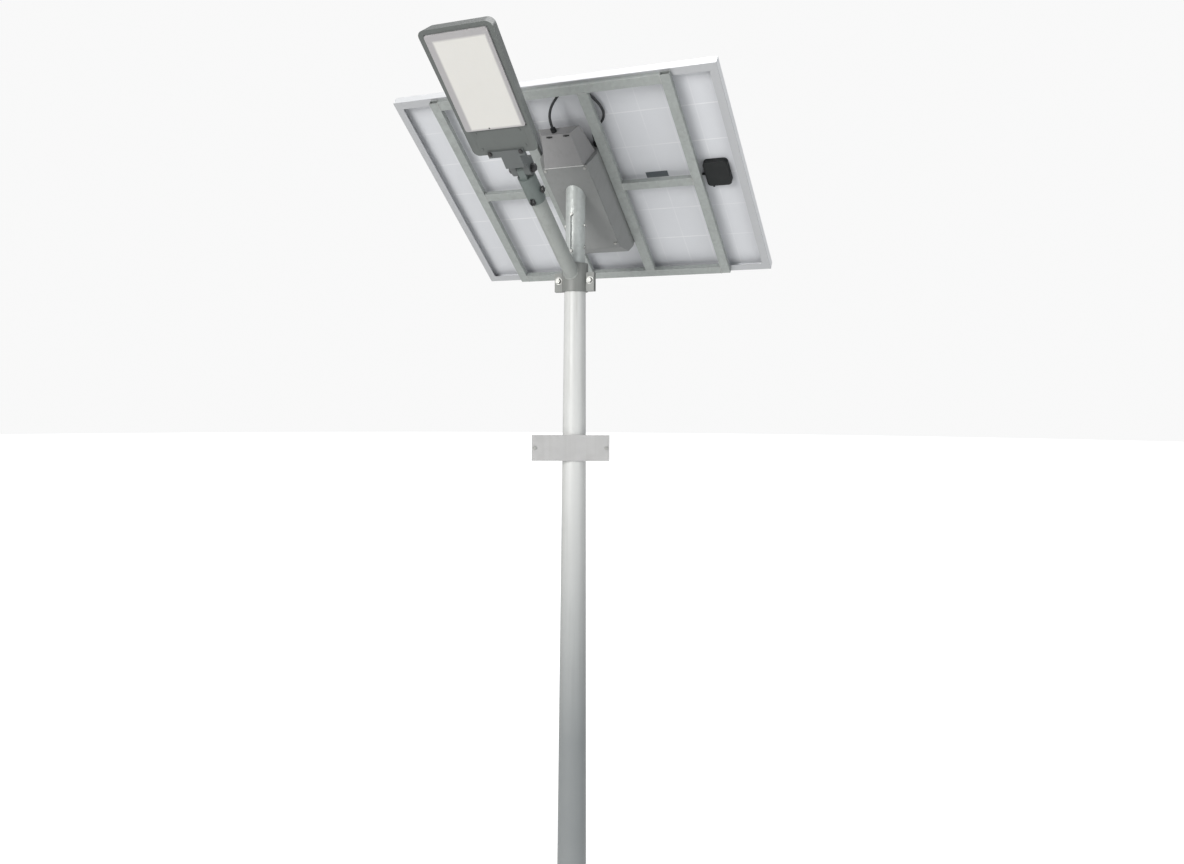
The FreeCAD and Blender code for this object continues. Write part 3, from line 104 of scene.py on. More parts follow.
# The floor glows for the camera alone, and more with distance, where the lamps don't reach.
floor_ray = floor_paint.node_tree.nodes.new("ShaderNodeLightPath")
floor_glow = floor_paint.node_tree.nodes.new("ShaderNodeMath")
floor_glow.operation = "MULTIPLY"
floor_spot = floor_paint.node_tree.nodes.new("ShaderNodeTexCoord")
floor_far = floor_paint.node_tree.nodes.new("ShaderNodeVectorMath")
floor_far.operation = "LENGTH"
floor_even = floor_paint.node_tree.nodes.new("ShaderNodeMapRange")
floor_even.inputs["From Min"].default_value = 1.0
floor_even.inputs["From Max"].default_value = 11.0
floor_even.inputs["To Min"].default_value = 0.12
floor_even.inputs["To Max"].default_value = 0.84
floor_paint.node_tree.links.new(floor_spot.outputs["Object"], floor_far.inputs[0])
floor_paint.node_tree.links.new(floor_far.outputs["Value"], floor_even.inputs["Value"])
floor_paint.node_tree.links.new(floor_even.outputs["Result"], floor_glow.inputs[1])
floor_paint.node_tree.links.new(floor_ray.outputs["Is Camera Ray"], floor_glow.inputs[0])
floor_paint.node_tree.links.new(floor_glow.outputs[0], floor_bsdf.inputs["Emission Strength"])
floor_mesh.materials.append(floor_paint)

camera_data = bpy.data.cameras.new("camera")
camera_data.sensor_width = 36
camera_data.lens = 31.5
camera_data.shift_x = 0.0102
camera_data.shift_y = -0.0338
camera = bpy.data.objects.new("camera", camera_data)
bpy.context.scene.collection.objects.link(camera)
camera_spot = (1.6209, -3.6238, 3.23)
camera_heading, camera_rise, camera_roll = 23.797, 90.276, 0.337
camera.matrix_world = (
    Matrix.Translation(camera_spot)
    @ Matrix.Rotation(math.radians(camera_heading), 4, "Z")
    @ Matrix.Rotation(math.radians(camera_rise), 4, "X")
    @ Matrix.Rotation(math.radians(camera_roll), 4, "Z")
)
bpy.context.scene.camera = camera
bpy.context.scene.view_settings.view_transform = "Standard"


# ---- Pole ---------------------------------------------------------------------------------
# A tapered steel tube in light grey paint with rain marks, and painted shade that darkens it
# towards the ground.
# It stands welded on a zinc coated base plate with four gussets.


def socket_group(name, inputs, outputs):
    """A shader node group with named sockets; gives the tree and its two end nodes."""
    tree = bpy.data.node_groups.new(name, "ShaderNodeTree")
    for label, kind, value in inputs:
        entry = tree.interface.new_socket(label, in_out="INPUT", socket_type=kind)
        if value is not None:
            entry.default_value = value
    for label, kind in outputs:
        tree.interface.new_socket(label, in_out="OUTPUT", socket_type=kind)
    return tree, tree.nodes.new("NodeGroupInput"), tree.nodes.new("NodeGroupOutput")


def add_noise(tree, scale, detail=4, stretch=None, rough=0.55):
    """A noise texture on Object coordinates, which may be stretched along the axes."""
    place = tree.nodes.new("ShaderNodeTexCoord")
    spread = tree.nodes.new("ShaderNodeMapping")
    spread.inputs["Scale"].default_value = stretch or (1, 1, 1)
    noise = tree.nodes.new("ShaderNodeTexNoise")
    noise.inputs["Detail"].default_value = detail
    noise.inputs["Roughness"].default_value = rough
    tree.links.new(place.outputs["Object"], spread.inputs["Vector"])
    tree.links.new(spread.outputs["Vector"], noise.inputs["Vector"])
    if isinstance(scale, (int, float)):
        noise.inputs["Scale"].default_value = scale
    else:
        tree.links.new(scale, noise.inputs["Scale"])
    return noise.outputs["Fac"]


def add_range(tree, value, low, high, to_low, to_high):
    """Maps a value from one range to another, held at the ends."""
    node = tree.nodes.new("ShaderNodeMapRange")
    for label, item in (
        ("Value", value),
        ("From Min", low),
        ("From Max", high),
        ("To Min", to_low),
        ("To Max", to_high),
    ):
        if isinstance(item, (int, float)):
            node.inputs[label].default_value = item
        else:
            tree.links.new(item, node.inputs[label])
    return node.outputs["Result"]


def add_math(tree, operation, first, second=0.0, third=None):
    """One arithmetic node."""
    node = tree.nodes.new("ShaderNodeMath")
    node.operation = operation
    for number, item in enumerate((first, second, third)):
        if item is None:
            continue
        if isinstance(item, (int, float)):
            node.inputs[number].default_value = item
        else:
            tree.links.new(item, node.inputs[number])
    return node.outputs[0]


def add_mix(tree, share, first, second, blend="MIX"):
    """Mixes two colours; a colour may be a tuple or a socket."""
    node = tree.nodes.new("ShaderNodeMix")
    node.data_type = "RGBA"
    node.blend_type = blend
    for socket, item in (
        (node.inputs["Factor"], share),
        (node.inputs[6], first),
        (node.inputs[7], second),
    ):
        if isinstance(item, (int, float)):
            socket.default_value = item
        elif isinstance(item, tuple):
            socket.default_value = (*item, 1)
        else:
            tree.links.new(item, socket)
    return node.outputs[2]


mottle_tree, mottle_in, mottle_out = socket_group(
    "coat_mottle",
    [
        ("Colour", "NodeSocketColor", None),
        ("Spread", "NodeSocketFloat", 0.1),
        ("Grain Scale", "NodeSocketFloat", 700.0),
        ("Gloss Low", "NodeSocketFloat", 0.4),
        ("Gloss High", "NodeSocketFloat", 0.6),
    ],
    [
        ("Colour", "NodeSocketColor"),
        ("Roughness", "NodeSocketFloat"),
        ("Height", "NodeSocketFloat"),
    ],
)
# Broad cloudy tone, a finer blotch and the orange peel of the sprayed coat.
cloud = add_noise(mottle_tree, 3.2, 5)
blotch = add_noise(mottle_tree, 26.0, 6, rough=0.7)
cloud_part = add_math(mottle_tree, "MULTIPLY", cloud, 0.6)
blotch_part = add_math(mottle_tree, "MULTIPLY", blotch, 0.4)
both = add_math(mottle_tree, "ADD", cloud_part, blotch_part)
signed = add_math(mottle_tree, "SUBTRACT", both, 0.5)
level = add_math(mottle_tree, "MULTIPLY_ADD", signed, mottle_in.outputs["Spread"], 1.0)
toned = mottle_tree.nodes.new("ShaderNodeHueSaturation")
mottle_tree.links.new(mottle_in.outputs["Colour"], toned.inputs["Color"])
mottle_tree.links.new(level, toned.inputs["Value"])
mottle_tree.links.new(toned.outputs["Color"], mottle_out.inputs["Colour"])
gloss = add_range(
    mottle_tree, blotch, 0.3, 0.7, mottle_in.outputs["Gloss Low"], mottle_in.outputs["Gloss High"]
)
mottle_tree.links.new(gloss, mottle_out.inputs["Roughness"])
peel = add_noise(mottle_tree, mottle_in.outputs["Grain Scale"], 2)
mottle_tree.links.new(peel, mottle_out.inputs["Height"])

rain_tree, rain_in, rain_out = socket_group(
    "rain_marks",
    [
        ("Colour", "NodeSocketColor", None),
        ("Dirt", "NodeSocketColor", None),
        ("Amount", "NodeSocketFloat", 0.3),
    ],
    [("Colour", "NodeSocketColor"), ("Mask", "NodeSocketFloat")],
)
# Runs of dirt are drawn out downwards and broken by a broad patchiness.
runs = add_noise(rain_tree, 1.0, 6, stretch=(46, 46, 1.3), rough=0.62)
patch = add_noise(rain_tree, 4.5, 3)
run_mask = add_range(rain_tree, runs, 0.48, 0.72, 0.0, 1.0)
patch_mask = add_range(rain_tree, patch, 0.35, 0.65, 0.25, 1.0)
rain_mask = add_math(rain_tree, "MULTIPLY", run_mask, patch_mask)
rain_share = add_math(rain_tree, "MULTIPLY", rain_mask, rain_in.outputs["Amount"])
rained = add_mix(rain_tree, rain_share, rain_in.outputs["Colour"], rain_in.outputs["Dirt"])
rain_tree.links.new(rained, rain_out.inputs["Colour"])
rain_tree.links.new(rain_share, rain_out.inputs["Mask"])


def add_group(tree, group, **values):
    """Places a shader node group with its own values; underscores stand for spaces."""
    node = tree.nodes.new("ShaderNodeGroup")
    node.node_tree = group
    for label, item in values.items():
        socket = node.inputs[label.replace("_", " ")]
        if isinstance(item, tuple):
            socket.default_value = (*item, 1)
        elif isinstance(item, (int, float)):
            socket.default_value = item
        else:
            tree.links.new(item, socket)
    return node


def new_finish(name):
    """An empty node material; gives the material, its tree and its Principled shader."""
    finish = bpy.data.materials.new(name)
    finish.use_nodes = True
    tree = finish.node_tree
    return finish, tree, tree.nodes["Principled BSDF"]


def add_bump(tree, shader, height, strength, distance):
    """Feeds a height into the shader's normal."""
    bump = tree.nodes.new("ShaderNodeBump")
    bump.inputs["Strength"].default_value = strength
    bump.inputs["Distance"].default_value = distance
    tree.links.new(height, bump.inputs["Height"])
    tree.links.new(bump.outputs["Normal"], shader.inputs["Normal"])


def sprayed_paint(name, colour, dirt, spread, rain, gloss, peel=0.00012):
    """Powder coat or paint over metal with mottle, orange peel and rain marks."""
    finish, tree, shader = new_finish(name)
    coat = add_group(
        tree,
        mottle_tree,
        Colour=colour,
        Spread=spread,
        Gloss_Low=gloss[0],
        Gloss_High=gloss[1],
    )
    marks = add_group(tree, rain_tree, Colour=coat.outputs["Colour"], Dirt=dirt, Amount=rain)
    tree.links.new(marks.outputs["Colour"], shader.inputs["Base Color"])
    tree.links.new(coat.outputs["Roughness"], shader.inputs["Roughness"])
    add_bump(tree, shader, coat.outputs["Height"], 0.35, peel)
    return finish


def dress(finish, *nodes):
    """Gives CAD nodes their material."""
    for node in nodes:
        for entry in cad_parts[node].material_slots:
            entry.material = finish


pole_finish, pole_tree, pole_shader = new_finish("pole_paint")
pole_coat = add_group(
    pole_tree, mottle_tree, Colour=(0.585, 0.59, 0.58), Spread=0.16, Gloss_Low=0.32, Gloss_High=0.5
)
pole_marks = add_group(
    pole_tree,
    rain_tree,
    Colour=pole_coat.outputs["Colour"],
    Dirt=(0.3, 0.3, 0.27),
    Amount=0.45,
)
# Painted shade darkens the paint downwards, below an unshaded upper part, broken into soft patches.
pole_place = pole_tree.nodes.new("ShaderNodeTexCoord")
pole_axes = pole_tree.nodes.new("ShaderNodeSeparateXYZ")
pole_tree.links.new(pole_place.outputs["Object"], pole_axes.inputs[0])
pole_shade_fade = add_range(pole_tree, pole_axes.outputs["Z"], 2.98, 1.92, 0.0, 1.0)
pole_shade_noise = add_noise(pole_tree, 2.2, 4)
pole_shade_patch = add_range(pole_tree, pole_shade_noise, 0.2, 0.8, 0.88, 1.0)
pole_shade_share = add_math(pole_tree, "MULTIPLY", pole_shade_fade, pole_shade_patch)
# Painted shade: the paint goes to a dark grey towards the ground.
pole_shaded = add_mix(pole_tree, pole_shade_share, pole_marks.outputs["Colour"], (0.198, 0.212, 0.216))
pole_tree.links.new(pole_shaded, pole_shader.inputs["Base Color"])
pole_tree.links.new(pole_coat.outputs["Roughness"], pole_shader.inputs["Roughness"])
add_bump(pole_tree, pole_shader, pole_coat.outputs["Height"], 0.35, 0.00012)
dress(pole_finish, "pole_tube")

spangle_tree, spangle_in, spangle_out = socket_group(
    "zinc_spangle",
    [
        ("Colour", "NodeSocketColor", None),
        ("Spread", "NodeSocketFloat", 0.2),
        ("Spangle Scale", "NodeSocketFloat", 90.0),
    ],
    [
        ("Colour", "NodeSocketColor"),
        ("Roughness", "NodeSocketFloat"),
        ("Height", "NodeSocketFloat"),
    ],
)
# Hot dip zinc freezes in flat crystals, each with its own tone and gloss.
spangle_place = spangle_tree.nodes.new("ShaderNodeTexCoord")
crystals = spangle_tree.nodes.new("ShaderNodeTexVoronoi")
crystals.inputs["Randomness"].default_value = 1.0
spangle_tree.links.new(spangle_place.outputs["Object"], crystals.inputs["Vector"])
spangle_tree.links.new(spangle_in.outputs["Spangle Scale"], crystals.inputs["Scale"])
crystal_tone = spangle_tree.nodes.new("ShaderNodeSeparateColor")
spangle_tree.links.new(crystals.outputs["Color"], crystal_tone.inputs[0])
dull = add_noise(spangle_tree, 7.0, 5)
crystal_part = add_math(spangle_tree, "MULTIPLY", crystal_tone.outputs[0], 0.35)
dull_part = add_math(spangle_tree, "MULTIPLY", dull, 0.65)
tone_sum = add_math(spangle_tree, "ADD", crystal_part, dull_part)
tone_shift = add_math(spangle_tree, "SUBTRACT", tone_sum, 0.5)
tone_level = add_math(
    spangle_tree, "MULTIPLY_ADD", tone_shift, spangle_in.outputs["Spread"], 1.0
)
spangled = spangle_tree.nodes.new("ShaderNodeHueSaturation")
spangle_tree.links.new(spangle_in.outputs["Colour"], spangled.inputs["Color"])
spangle_tree.links.new(tone_level, spangled.inputs["Value"])
spangle_tree.links.new(spangled.outputs["Color"], spangle_out.inputs["Colour"])
spangle_gloss = add_range(spangle_tree, crystal_tone.outputs[1], 0.0, 1.0, 0.42, 0.62)
spangle_tree.links.new(spangle_gloss, spangle_out.inputs["Roughness"])
spangle_tree.links.new(add_noise(spangle_tree, 240.0, 3), spangle_out.inputs["Height"])


def zinc_coat(name, colour, dirt, rain, metal, spread=0.3, scale=90.0):
    """Zinc coated steel with spangle and rain marks."""
    finish, tree, shader = new_finish(name)
    coat = add_group(tree, spangle_tree, Colour=colour, Spread=spread, Spangle_Scale=scale)
    marks = add_group(tree, rain_tree, Colour=coat.outputs["Colour"], Dirt=dirt, Amount=rain)
    tree.links.new(marks.outputs["Colour"], shader.inputs["Base Color"])
    tree.links.new(coat.outputs["Roughness"], shader.inputs["Roughness"])
    shader.inputs["Metallic"].default_value = metal
    add_bump(tree, shader, coat.outputs["Height"], 0.3, 0.0002)
    return finish


zinc_finish = zinc_coat("zinc_steel", (0.5, 0.52, 0.51), (0.2, 0.2, 0.18), 0.4, 0.45)


def softened(node, name, width, finish, body, steps=2, angle=32):
    """A copy of a CAD node, with edges sharper than an angle rounded, that stands for it."""
    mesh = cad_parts[node].data.copy()
    mesh.name = name
    bm = bmesh.new()
    bm.from_mesh(mesh)
    bmesh.ops.remove_doubles(bm, verts=bm.verts, dist=2e-5)
    bmesh.ops.dissolve_limit(bm, angle_limit=math.radians(0.5), verts=bm.verts, edges=bm.edges)
    sharp = [
        edge
        for edge in bm.edges
        if len(edge.link_faces) == 2 and edge.calc_face_angle() > math.radians(angle)
    ]
    bmesh.ops.bevel(
        bm,
        geom=sharp,
        offset=width,
        offset_type="OFFSET",
        segments=steps,
        profile=0.5,
        affect="EDGES",
        clamp_overlap=True,
    )
    bmesh.ops.triangulate(bm, faces=[face for face in bm.faces if len(face.verts) > 4])
    bm.to_mesh(mesh)
    bm.free()
    mesh.materials.clear()
    mesh.materials.append(finish)
    mesh.shade_smooth()
    mesh.set_sharp_from_angle(angle=math.radians(38))
    piece = bpy.data.objects.new(name, mesh)
    bpy.context.scene.collection.objects.link(piece)
    even = piece.modifiers.new("even_shading", "WEIGHTED_NORMAL")
    even.keep_sharp = True
    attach(piece, body)
    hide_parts(node)
    return piece


softened("base_plate", "base_plate_forged", 0.0012, zinc_finish, "pole")
for corner in (1, 2, 3, 4):
    softened(
        f"base_gusset_{corner}",
        f"gusset_{corner}",
        0.0008,
        zinc_finish,
        "pole",
    )
dress(zinc_finish, "pole_spigot")


# ---- Panel cable --------------------------------------------------------------------------
# Black rubber solar cable, 10 mm thick and 0.51 m long, between the control box's gland and
# the gland on the battery tray. It loops over the front rail, close under the backsheet.

cable_route = [
    (-12, -334, -42),
    (-12, -372, -42),
    (-1, -408, -16),
    (36, -440, 8),
    (66, -464, 14),
    (100, -462, 14),
    (140, -436, 14),
    (168, -392, 14),
    (182, -340, 14),
    (160, -296, 14),
    (104, -266, 12),
    (104, -212, 12),
]
module_middle, module_fall = (0, 0.108, 4.05), math.radians(-37)
module_place = Matrix.Translation(module_middle) @ Matrix.Rotation(module_fall, 4, "X")
cable_points = [module_place @ (Vector(point) / 1000) for point in cable_route]
cable_curve = bpy.data.curves.new("solar_cable", "CURVE")
cable_curve.dimensions = "3D"
cable_spline = cable_curve.splines.new("NURBS")
cable_spline.points.add(len(cable_points) - 1)
for entry, point in zip(cable_spline.points, cable_points):
    entry.co = (*point, 1)
cable_spline.order_u = 3
cable_spline.use_endpoint_u = True
cable_spline.resolution_u = 10
cable_curve.bevel_depth = 0.005
cable_curve.bevel_resolution = 5
cable_curve.use_fill_caps = True
cable = bpy.data.objects.new("solar_cable", cable_curve)
bpy.context.scene.collection.objects.link(cable)
cable_finish = sprayed_paint(
    "cable_rubber", (0.012, 0.014, 0.016), (0.05, 0.05, 0.05), 0.6, 0.3, (0.38, 0.55)
)
cable_curve.materials.append(cable_finish)
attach(cable, "panel")
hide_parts("panel_cable")


# ---- Welds of the pole --------------------------------------------------------------------
# Fillet welds run round the pole's foot and down both sides of each gusset.
# The bead is a rippled tube of weld metal laid along a line, zinc coated with the rest.


def tree_with(name, inputs):
    """A geometry tree with named inputs; gives the tree and its two end nodes."""
    tree = bpy.data.node_groups.new(name, "GeometryNodeTree")
    tree.interface.new_socket("Seed", in_out="INPUT", socket_type="NodeSocketGeometry")
    for label, kind, value in inputs:
        entry = tree.interface.new_socket(label, in_out="INPUT", socket_type=kind)
        if value is not None:
            entry.default_value = value
    tree.interface.new_socket("Shape", in_out="OUTPUT", socket_type="NodeSocketGeometry")
    return tree, tree.nodes.new("NodeGroupInput"), tree.nodes.new("NodeGroupOutput")


def chain(tree, *steps):
    """Links the first geometry output of each step to the first input of the next."""
    for left, right in zip(steps, steps[1:]):
        tree.links.new(left.outputs[0], right.inputs[0])


bead_tree, bead_in, bead_out = tree_with(
    "weld_bead",
    [
        ("Radius", "NodeSocketFloat", 0.003),
        ("Ripple", "NodeSocketFloat", 0.004),
        ("Unevenness", "NodeSocketFloat", 0.16),
        ("Metal", "NodeSocketMaterial", None),
    ],
)
bead_line = bead_tree.nodes.new("GeometryNodeMeshToCurve")
bead_step = bead_tree.nodes.new("GeometryNodeResampleCurve")
bead_step.mode = "LENGTH"
bead_where = bead_tree.nodes.new("GeometryNodeSplineParameter")
bead_rough = bead_tree.nodes.new("ShaderNodeTexNoise")
bead_rough.inputs["Scale"].default_value = 60
bead_ring = bead_tree.nodes.new("GeometryNodeCurvePrimitiveCircle")
bead_ring.inputs["Resolution"].default_value = 8
bead_skin = bead_tree.nodes.new("GeometryNodeCurveToMesh")
bead_skin.inputs["Fill Caps"].default_value = True
bead_smooth = bead_tree.nodes.new("GeometryNodeSetShadeSmooth")
bead_real = bead_tree.nodes.new("GeometryNodeRealizeInstances")
bead_metal = bead_tree.nodes.new("GeometryNodeSetMaterial")
spacing = add_math(bead_tree, "DIVIDE", bead_in.outputs["Ripple"], 4.0)
bead_tree.links.new(spacing, bead_step.inputs["Length"])
run_length = bead_where.outputs["Length"]
wave_count = add_math(bead_tree, "DIVIDE", run_length, bead_in.outputs["Ripple"])
wave = add_math(bead_tree, "SINE", add_math(bead_tree, "MULTIPLY", wave_count, math.tau))
uneven = add_math(bead_tree, "SUBTRACT", bead_rough.outputs["Fac"], 0.5)
swell = add_math(bead_tree, "MULTIPLY_ADD", wave, bead_in.outputs["Unevenness"], 1.0)
swell = add_math(bead_tree, "MULTIPLY_ADD", uneven, 0.5, swell)
bead_tree.links.new(bead_in.outputs["Seed"], bead_line.inputs[0])
chain(bead_tree, bead_line, bead_step, bead_skin, bead_smooth, bead_real, bead_metal, bead_out)
bead_tree.links.new(bead_in.outputs["Radius"], bead_ring.inputs["Radius"])
bead_tree.links.new(bead_ring.outputs[0], bead_skin.inputs["Profile Curve"])
bead_tree.links.new(swell, bead_skin.inputs["Scale"])
bead_tree.links.new(bead_in.outputs["Metal"], bead_metal.inputs["Material"])


def grown(name, tree, seed, body, slot, **values):
    """Runs a geometry tree on a seed mesh and keeps the result as a plain mesh piece."""
    piece = bpy.data.objects.new(name, seed)
    bpy.context.scene.collection.objects.link(piece)
    shape = piece.modifiers.new("shape", "NODES")
    shape.node_group = tree
    sockets = {
        item.name: item.identifier
        for item in tree.interface.items_tree
        if item.item_type == "SOCKET" and item.in_out == "INPUT"
    }
    for label, value in values.items():
        shape[sockets[label.replace("_", " ")]] = value
    depsgraph = bpy.context.evaluated_depsgraph_get()
    mesh = bpy.data.meshes.new_from_object(piece.evaluated_get(depsgraph))
    piece.modifiers.clear()
    piece.data = mesh
    mesh.name = name
    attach(piece, body)
    return piece


def seed_lines(name, lines):
    """A mesh of open or closed lines; each is (points, closed)."""
    corners, edges = [], []
    for points, closed in lines:
        first = len(corners)
        corners += [tuple(point) for point in points]
        last = len(corners) - 1
        edges += [(number, number + 1) for number in range(first, last)]
        if closed:
            edges.append((last, first))
    mesh = bpy.data.meshes.new(name)
    mesh.from_pydata(corners, edges, [])
    return mesh


def ring_points(centre, radius, count=48, across=Vector((1, 0, 0)), along=Vector((0, 1, 0))):
    """Points round a circle that is spanned by two unit vectors."""
    turns = [math.tau * number / count for number in range(count)]
    return [centre + radius * (math.cos(t) * across + math.sin(t) * along) for t in turns]


weld_finish = zinc_coat("weld_zinc", (0.42, 0.43, 0.42), (0.16, 0.13, 0.1), 0.3, 0.5, 0.3, 260.0)
foot_radius = (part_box("pole_tube")[1].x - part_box("pole_tube")[0].x) / 2
foot_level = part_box("base_plate")[1].z
gusset_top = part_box("base_gusset_1")[1].z
gusset_half, gusset_reach = 0.0042, 0.06
weld_steps = 72
foot_middle = Vector((0, 0, foot_level + 0.001))
foot_lines = [(ring_points(foot_middle, foot_radius + 0.001, weld_steps), True)]
for quarter in range(4):
    heading = math.radians(45 + 90 * quarter)
    out = Vector((math.cos(heading), math.sin(heading), 0))
    beside = Vector((-out.y, out.x, 0)) * gusset_half
    for side in (-1, 1):
        low = out * (foot_radius + 0.0005) + beside * side + Vector((0, 0, foot_level + 0.003))
        high = out * (foot_radius - 0.001) + beside * side + Vector((0, 0, gusset_top - 0.002))
        toe = out * (foot_radius + gusset_reach) + beside * side
        toe += Vector((0, 0, foot_level + 0.0008))
        foot_lines.append(([high, low], False))
        foot_lines.append(([low, toe], False))
grown(
    "foot_welds",
    bead_tree,
    seed_lines("foot_weld_lines", foot_lines),
    "pole",
    "galvanised",
    Radius=0.0032,
    Ripple=0.0045,
    Metal=weld_finish,
)


# ---- Sign ---------------------------------------------------------------------------------
# A blank sheet aluminium plate on a flat bar, held to the pole by a clamped zinc band.
# Two zinc bolts with washers go through the plate's ends, each a chamfered head on a disc.

sign_finish, sign_tree, sign_shader = new_finish("sign_sheet")
sign_coat = add_group(
    sign_tree, mottle_tree, Colour=(0.465, 0.462, 0.46), Spread=0.3, Gloss_Low=0.35, Gloss_High=0.55
)
sign_marks = add_group(
    sign_tree,
    rain_tree,
    Colour=sign_coat.outputs["Colour"],
    Dirt=(0.3, 0.29, 0.27),
    Amount=0.35,
)
sign_tree.links.new(sign_marks.outputs["Colour"], sign_shader.inputs["Base Color"])
sign_tree.links.new(sign_coat.outputs["Roughness"], sign_shader.inputs["Roughness"])
sign_shader.inputs["Metallic"].default_value = 0.25
brushed = add_noise(sign_tree, 1.0, 3, stretch=(30, 30, 1400))
add_bump(sign_tree, sign_shader, brushed, 0.12, 0.0001)
softened("sign_plate", "sign_sheet", 0.0005, sign_finish, "pole")
dress(zinc_finish, "sign_band", "sign_bar")
bolt_finish = zinc_coat(
    "bright_zinc", (0.42, 0.425, 0.41), (0.22, 0.17, 0.12), 0.35, 0.8, 0.2, 400.0
)
dress(bolt_finish, "sign_bolts")
sign_turn = math.radians(26)
sign_axis = (-math.sin(sign_turn), math.cos(sign_turn), 0)

head_tree, head_in, head_out = tree_with(
    "bolt_heads",
    [
        ("Radius", "NodeSocketFloat", 0.008),
        ("Height", "NodeSocketFloat", 0.006),
        ("Sides", "NodeSocketInt", 6),
        ("Washer Radius", "NodeSocketFloat", 0.011),
        ("Washer Thickness", "NodeSocketFloat", 0.0012),
        ("Metal", "NodeSocketMaterial", None),
    ],
)
washer = head_tree.nodes.new("GeometryNodeMeshCylinder")
washer.inputs["Vertices"].default_value = 28
head_tree.links.new(head_in.outputs["Washer Radius"], washer.inputs["Radius"])
head_tree.links.new(head_in.outputs["Washer Thickness"], washer.inputs["Depth"])


def tier_of_head(low_share, high_share, low_radius, high_radius):
    """One straight or sloping tier of the head, as shares of its height and radius."""
    cone = head_tree.nodes.new("GeometryNodeMeshCone")
    tall = add_math(head_tree, "MULTIPLY", head_in.outputs["Height"], high_share - low_share)
    low = add_math(head_tree, "MULTIPLY", head_in.outputs["Height"], low_share)
    head_tree.links.new(head_in.outputs["Sides"], cone.inputs["Vertices"])
    head_tree.links.new(tall, cone.inputs["Depth"])
    for label, share in (("Radius Bottom", low_radius), ("Radius Top", high_radius)):
        size = add_math(head_tree, "MULTIPLY", head_in.outputs["Radius"], share)
        head_tree.links.new(size, cone.inputs[label])
    shift = head_tree.nodes.new("GeometryNodeTransform")
    height = head_tree.nodes.new("ShaderNodeCombineXYZ")
    head_tree.links.new(low, height.inputs["Z"])
    head_tree.links.new(cone.outputs["Mesh"], shift.inputs["Geometry"])
    head_tree.links.new(height.outputs[0], shift.inputs["Translation"])
    return shift


whole_head = head_tree.nodes.new("GeometryNodeJoinGeometry")
for tier in (tier_of_head(0, 0.8, 1, 1), tier_of_head(0.8, 1, 1, 0.84)):
    head_tree.links.new(tier.outputs[0], whole_head.inputs[0])
head_tree.links.new(washer.outputs["Mesh"], whole_head.inputs[0])
head_points = head_tree.nodes.new("GeometryNodeMeshToPoints")
head_set = head_tree.nodes.new("GeometryNodeInstanceOnPoints")
head_aim = head_tree.nodes.new("GeometryNodeInputNamedAttribute")
head_aim.data_type = "FLOAT_VECTOR"
head_aim.inputs["Name"].default_value = "aim"
head_turn = head_tree.nodes.new("FunctionNodeAlignRotationToVector")
head_turn.axis = "Z"
head_real = head_tree.nodes.new("GeometryNodeRealizeInstances")
head_metal = head_tree.nodes.new("GeometryNodeSetMaterial")
head_tree.links.new(head_in.outputs["Seed"], head_points.inputs[0])
chain(head_tree, head_points, head_set, head_real, head_metal, head_out)
head_tree.links.new(whole_head.outputs[0], head_set.inputs["Instance"])
head_tree.links.new(head_aim.outputs[0], head_turn.inputs["Vector"])
head_tree.links.new(head_turn.outputs[0], head_set.inputs["Rotation"])
head_tree.links.new(head_in.outputs["Metal"], head_metal.inputs["Material"])


def seed_points(name, spots):
    """A mesh of loose points; each is (place, direction)."""
    mesh = bpy.data.meshes.new(name)
    mesh.from_pydata([tuple(place) for place, aim in spots], [], [])
    aims = mesh.attributes.new("aim", "FLOAT_VECTOR", "POINT")
    for number, (place, aim) in enumerate(spots):
        aims.data[number].vector = tuple(aim)
    return mesh


def head_spots(node, axis):
    """Where the heads and nuts of a CAD bolt node sit: (seat, outward aim, radius, height)."""
    bm = bmesh.new()
    bm.from_mesh(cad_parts[node].data)
    bmesh.ops.remove_doubles(bm, verts=bm.verts, dist=2e-5)
    axis = Vector(axis).normalized()
    waiting, spots = dict.fromkeys(bm.verts), []
    while waiting:
        solid, edge_of_search = [], [waiting.popitem()[0]]
        while edge_of_search:
            vert = edge_of_search.pop()
            solid.append(vert.co.copy())
            for edge in vert.link_edges:
                other = edge.other_vert(vert)
                if other in waiting:
                    del waiting[other]
                    edge_of_search.append(other)
        flat = [point - axis * point.dot(axis) for point in solid]
        middle = sum(flat, Vector()) / len(flat)
        wide = max((point - middle).length for point in flat)
        marks = [point.dot(axis) for point in solid]
        half = (min(marks) + max(marks)) / 2
        for side in (-1, 1):
            tall = [
                mark
                for point, mark in zip(flat, marks)
                if (point - middle).length > 0.8 * wide and (mark - half) * side > 0
            ]
            if tall:
                seat = min(tall) if side > 0 else max(tall)
                tip = max(tall) if side > 0 else min(tall)
                spots.append((middle + axis * seat, axis * side, wide, abs(tip - seat)))
    bm.free()
    return spots


def bolt_heads(node, axis, finish, body, slot, washers=1.32, sides=6):
    """Chamfered heads and washers that just cover a CAD bolt node's own heads and nuts."""
    spots = head_spots(node, axis)
    wide = max(spot[2] for spot in spots)
    tall = max(spot[3] for spot in spots)
    seed = seed_points(f"{node}_seats", [spot[:2] for spot in spots])
    return grown(
        f"{node}_heads",
        head_tree,
        seed,
        body,
        slot,
        Radius=wide * 1.03,
        Height=tall * 1.08,
        Sides=sides,
        Washer_Radius=wide * washers,
        Washer_Thickness=0.0022,
        Metal=finish,
    )


bolt_heads("sign_bolts", sign_axis, bolt_finish, "pole", "zinc_bolt", washers=1.25)


# ---- Arm ----------------------------------------------------------------------------------
# Two cast collar halves clamp the pole; the arm tube is welded to the front one and ends in
# a lamp socket. All in grey-green powder coat, with zinc bolts and black tilt fittings.

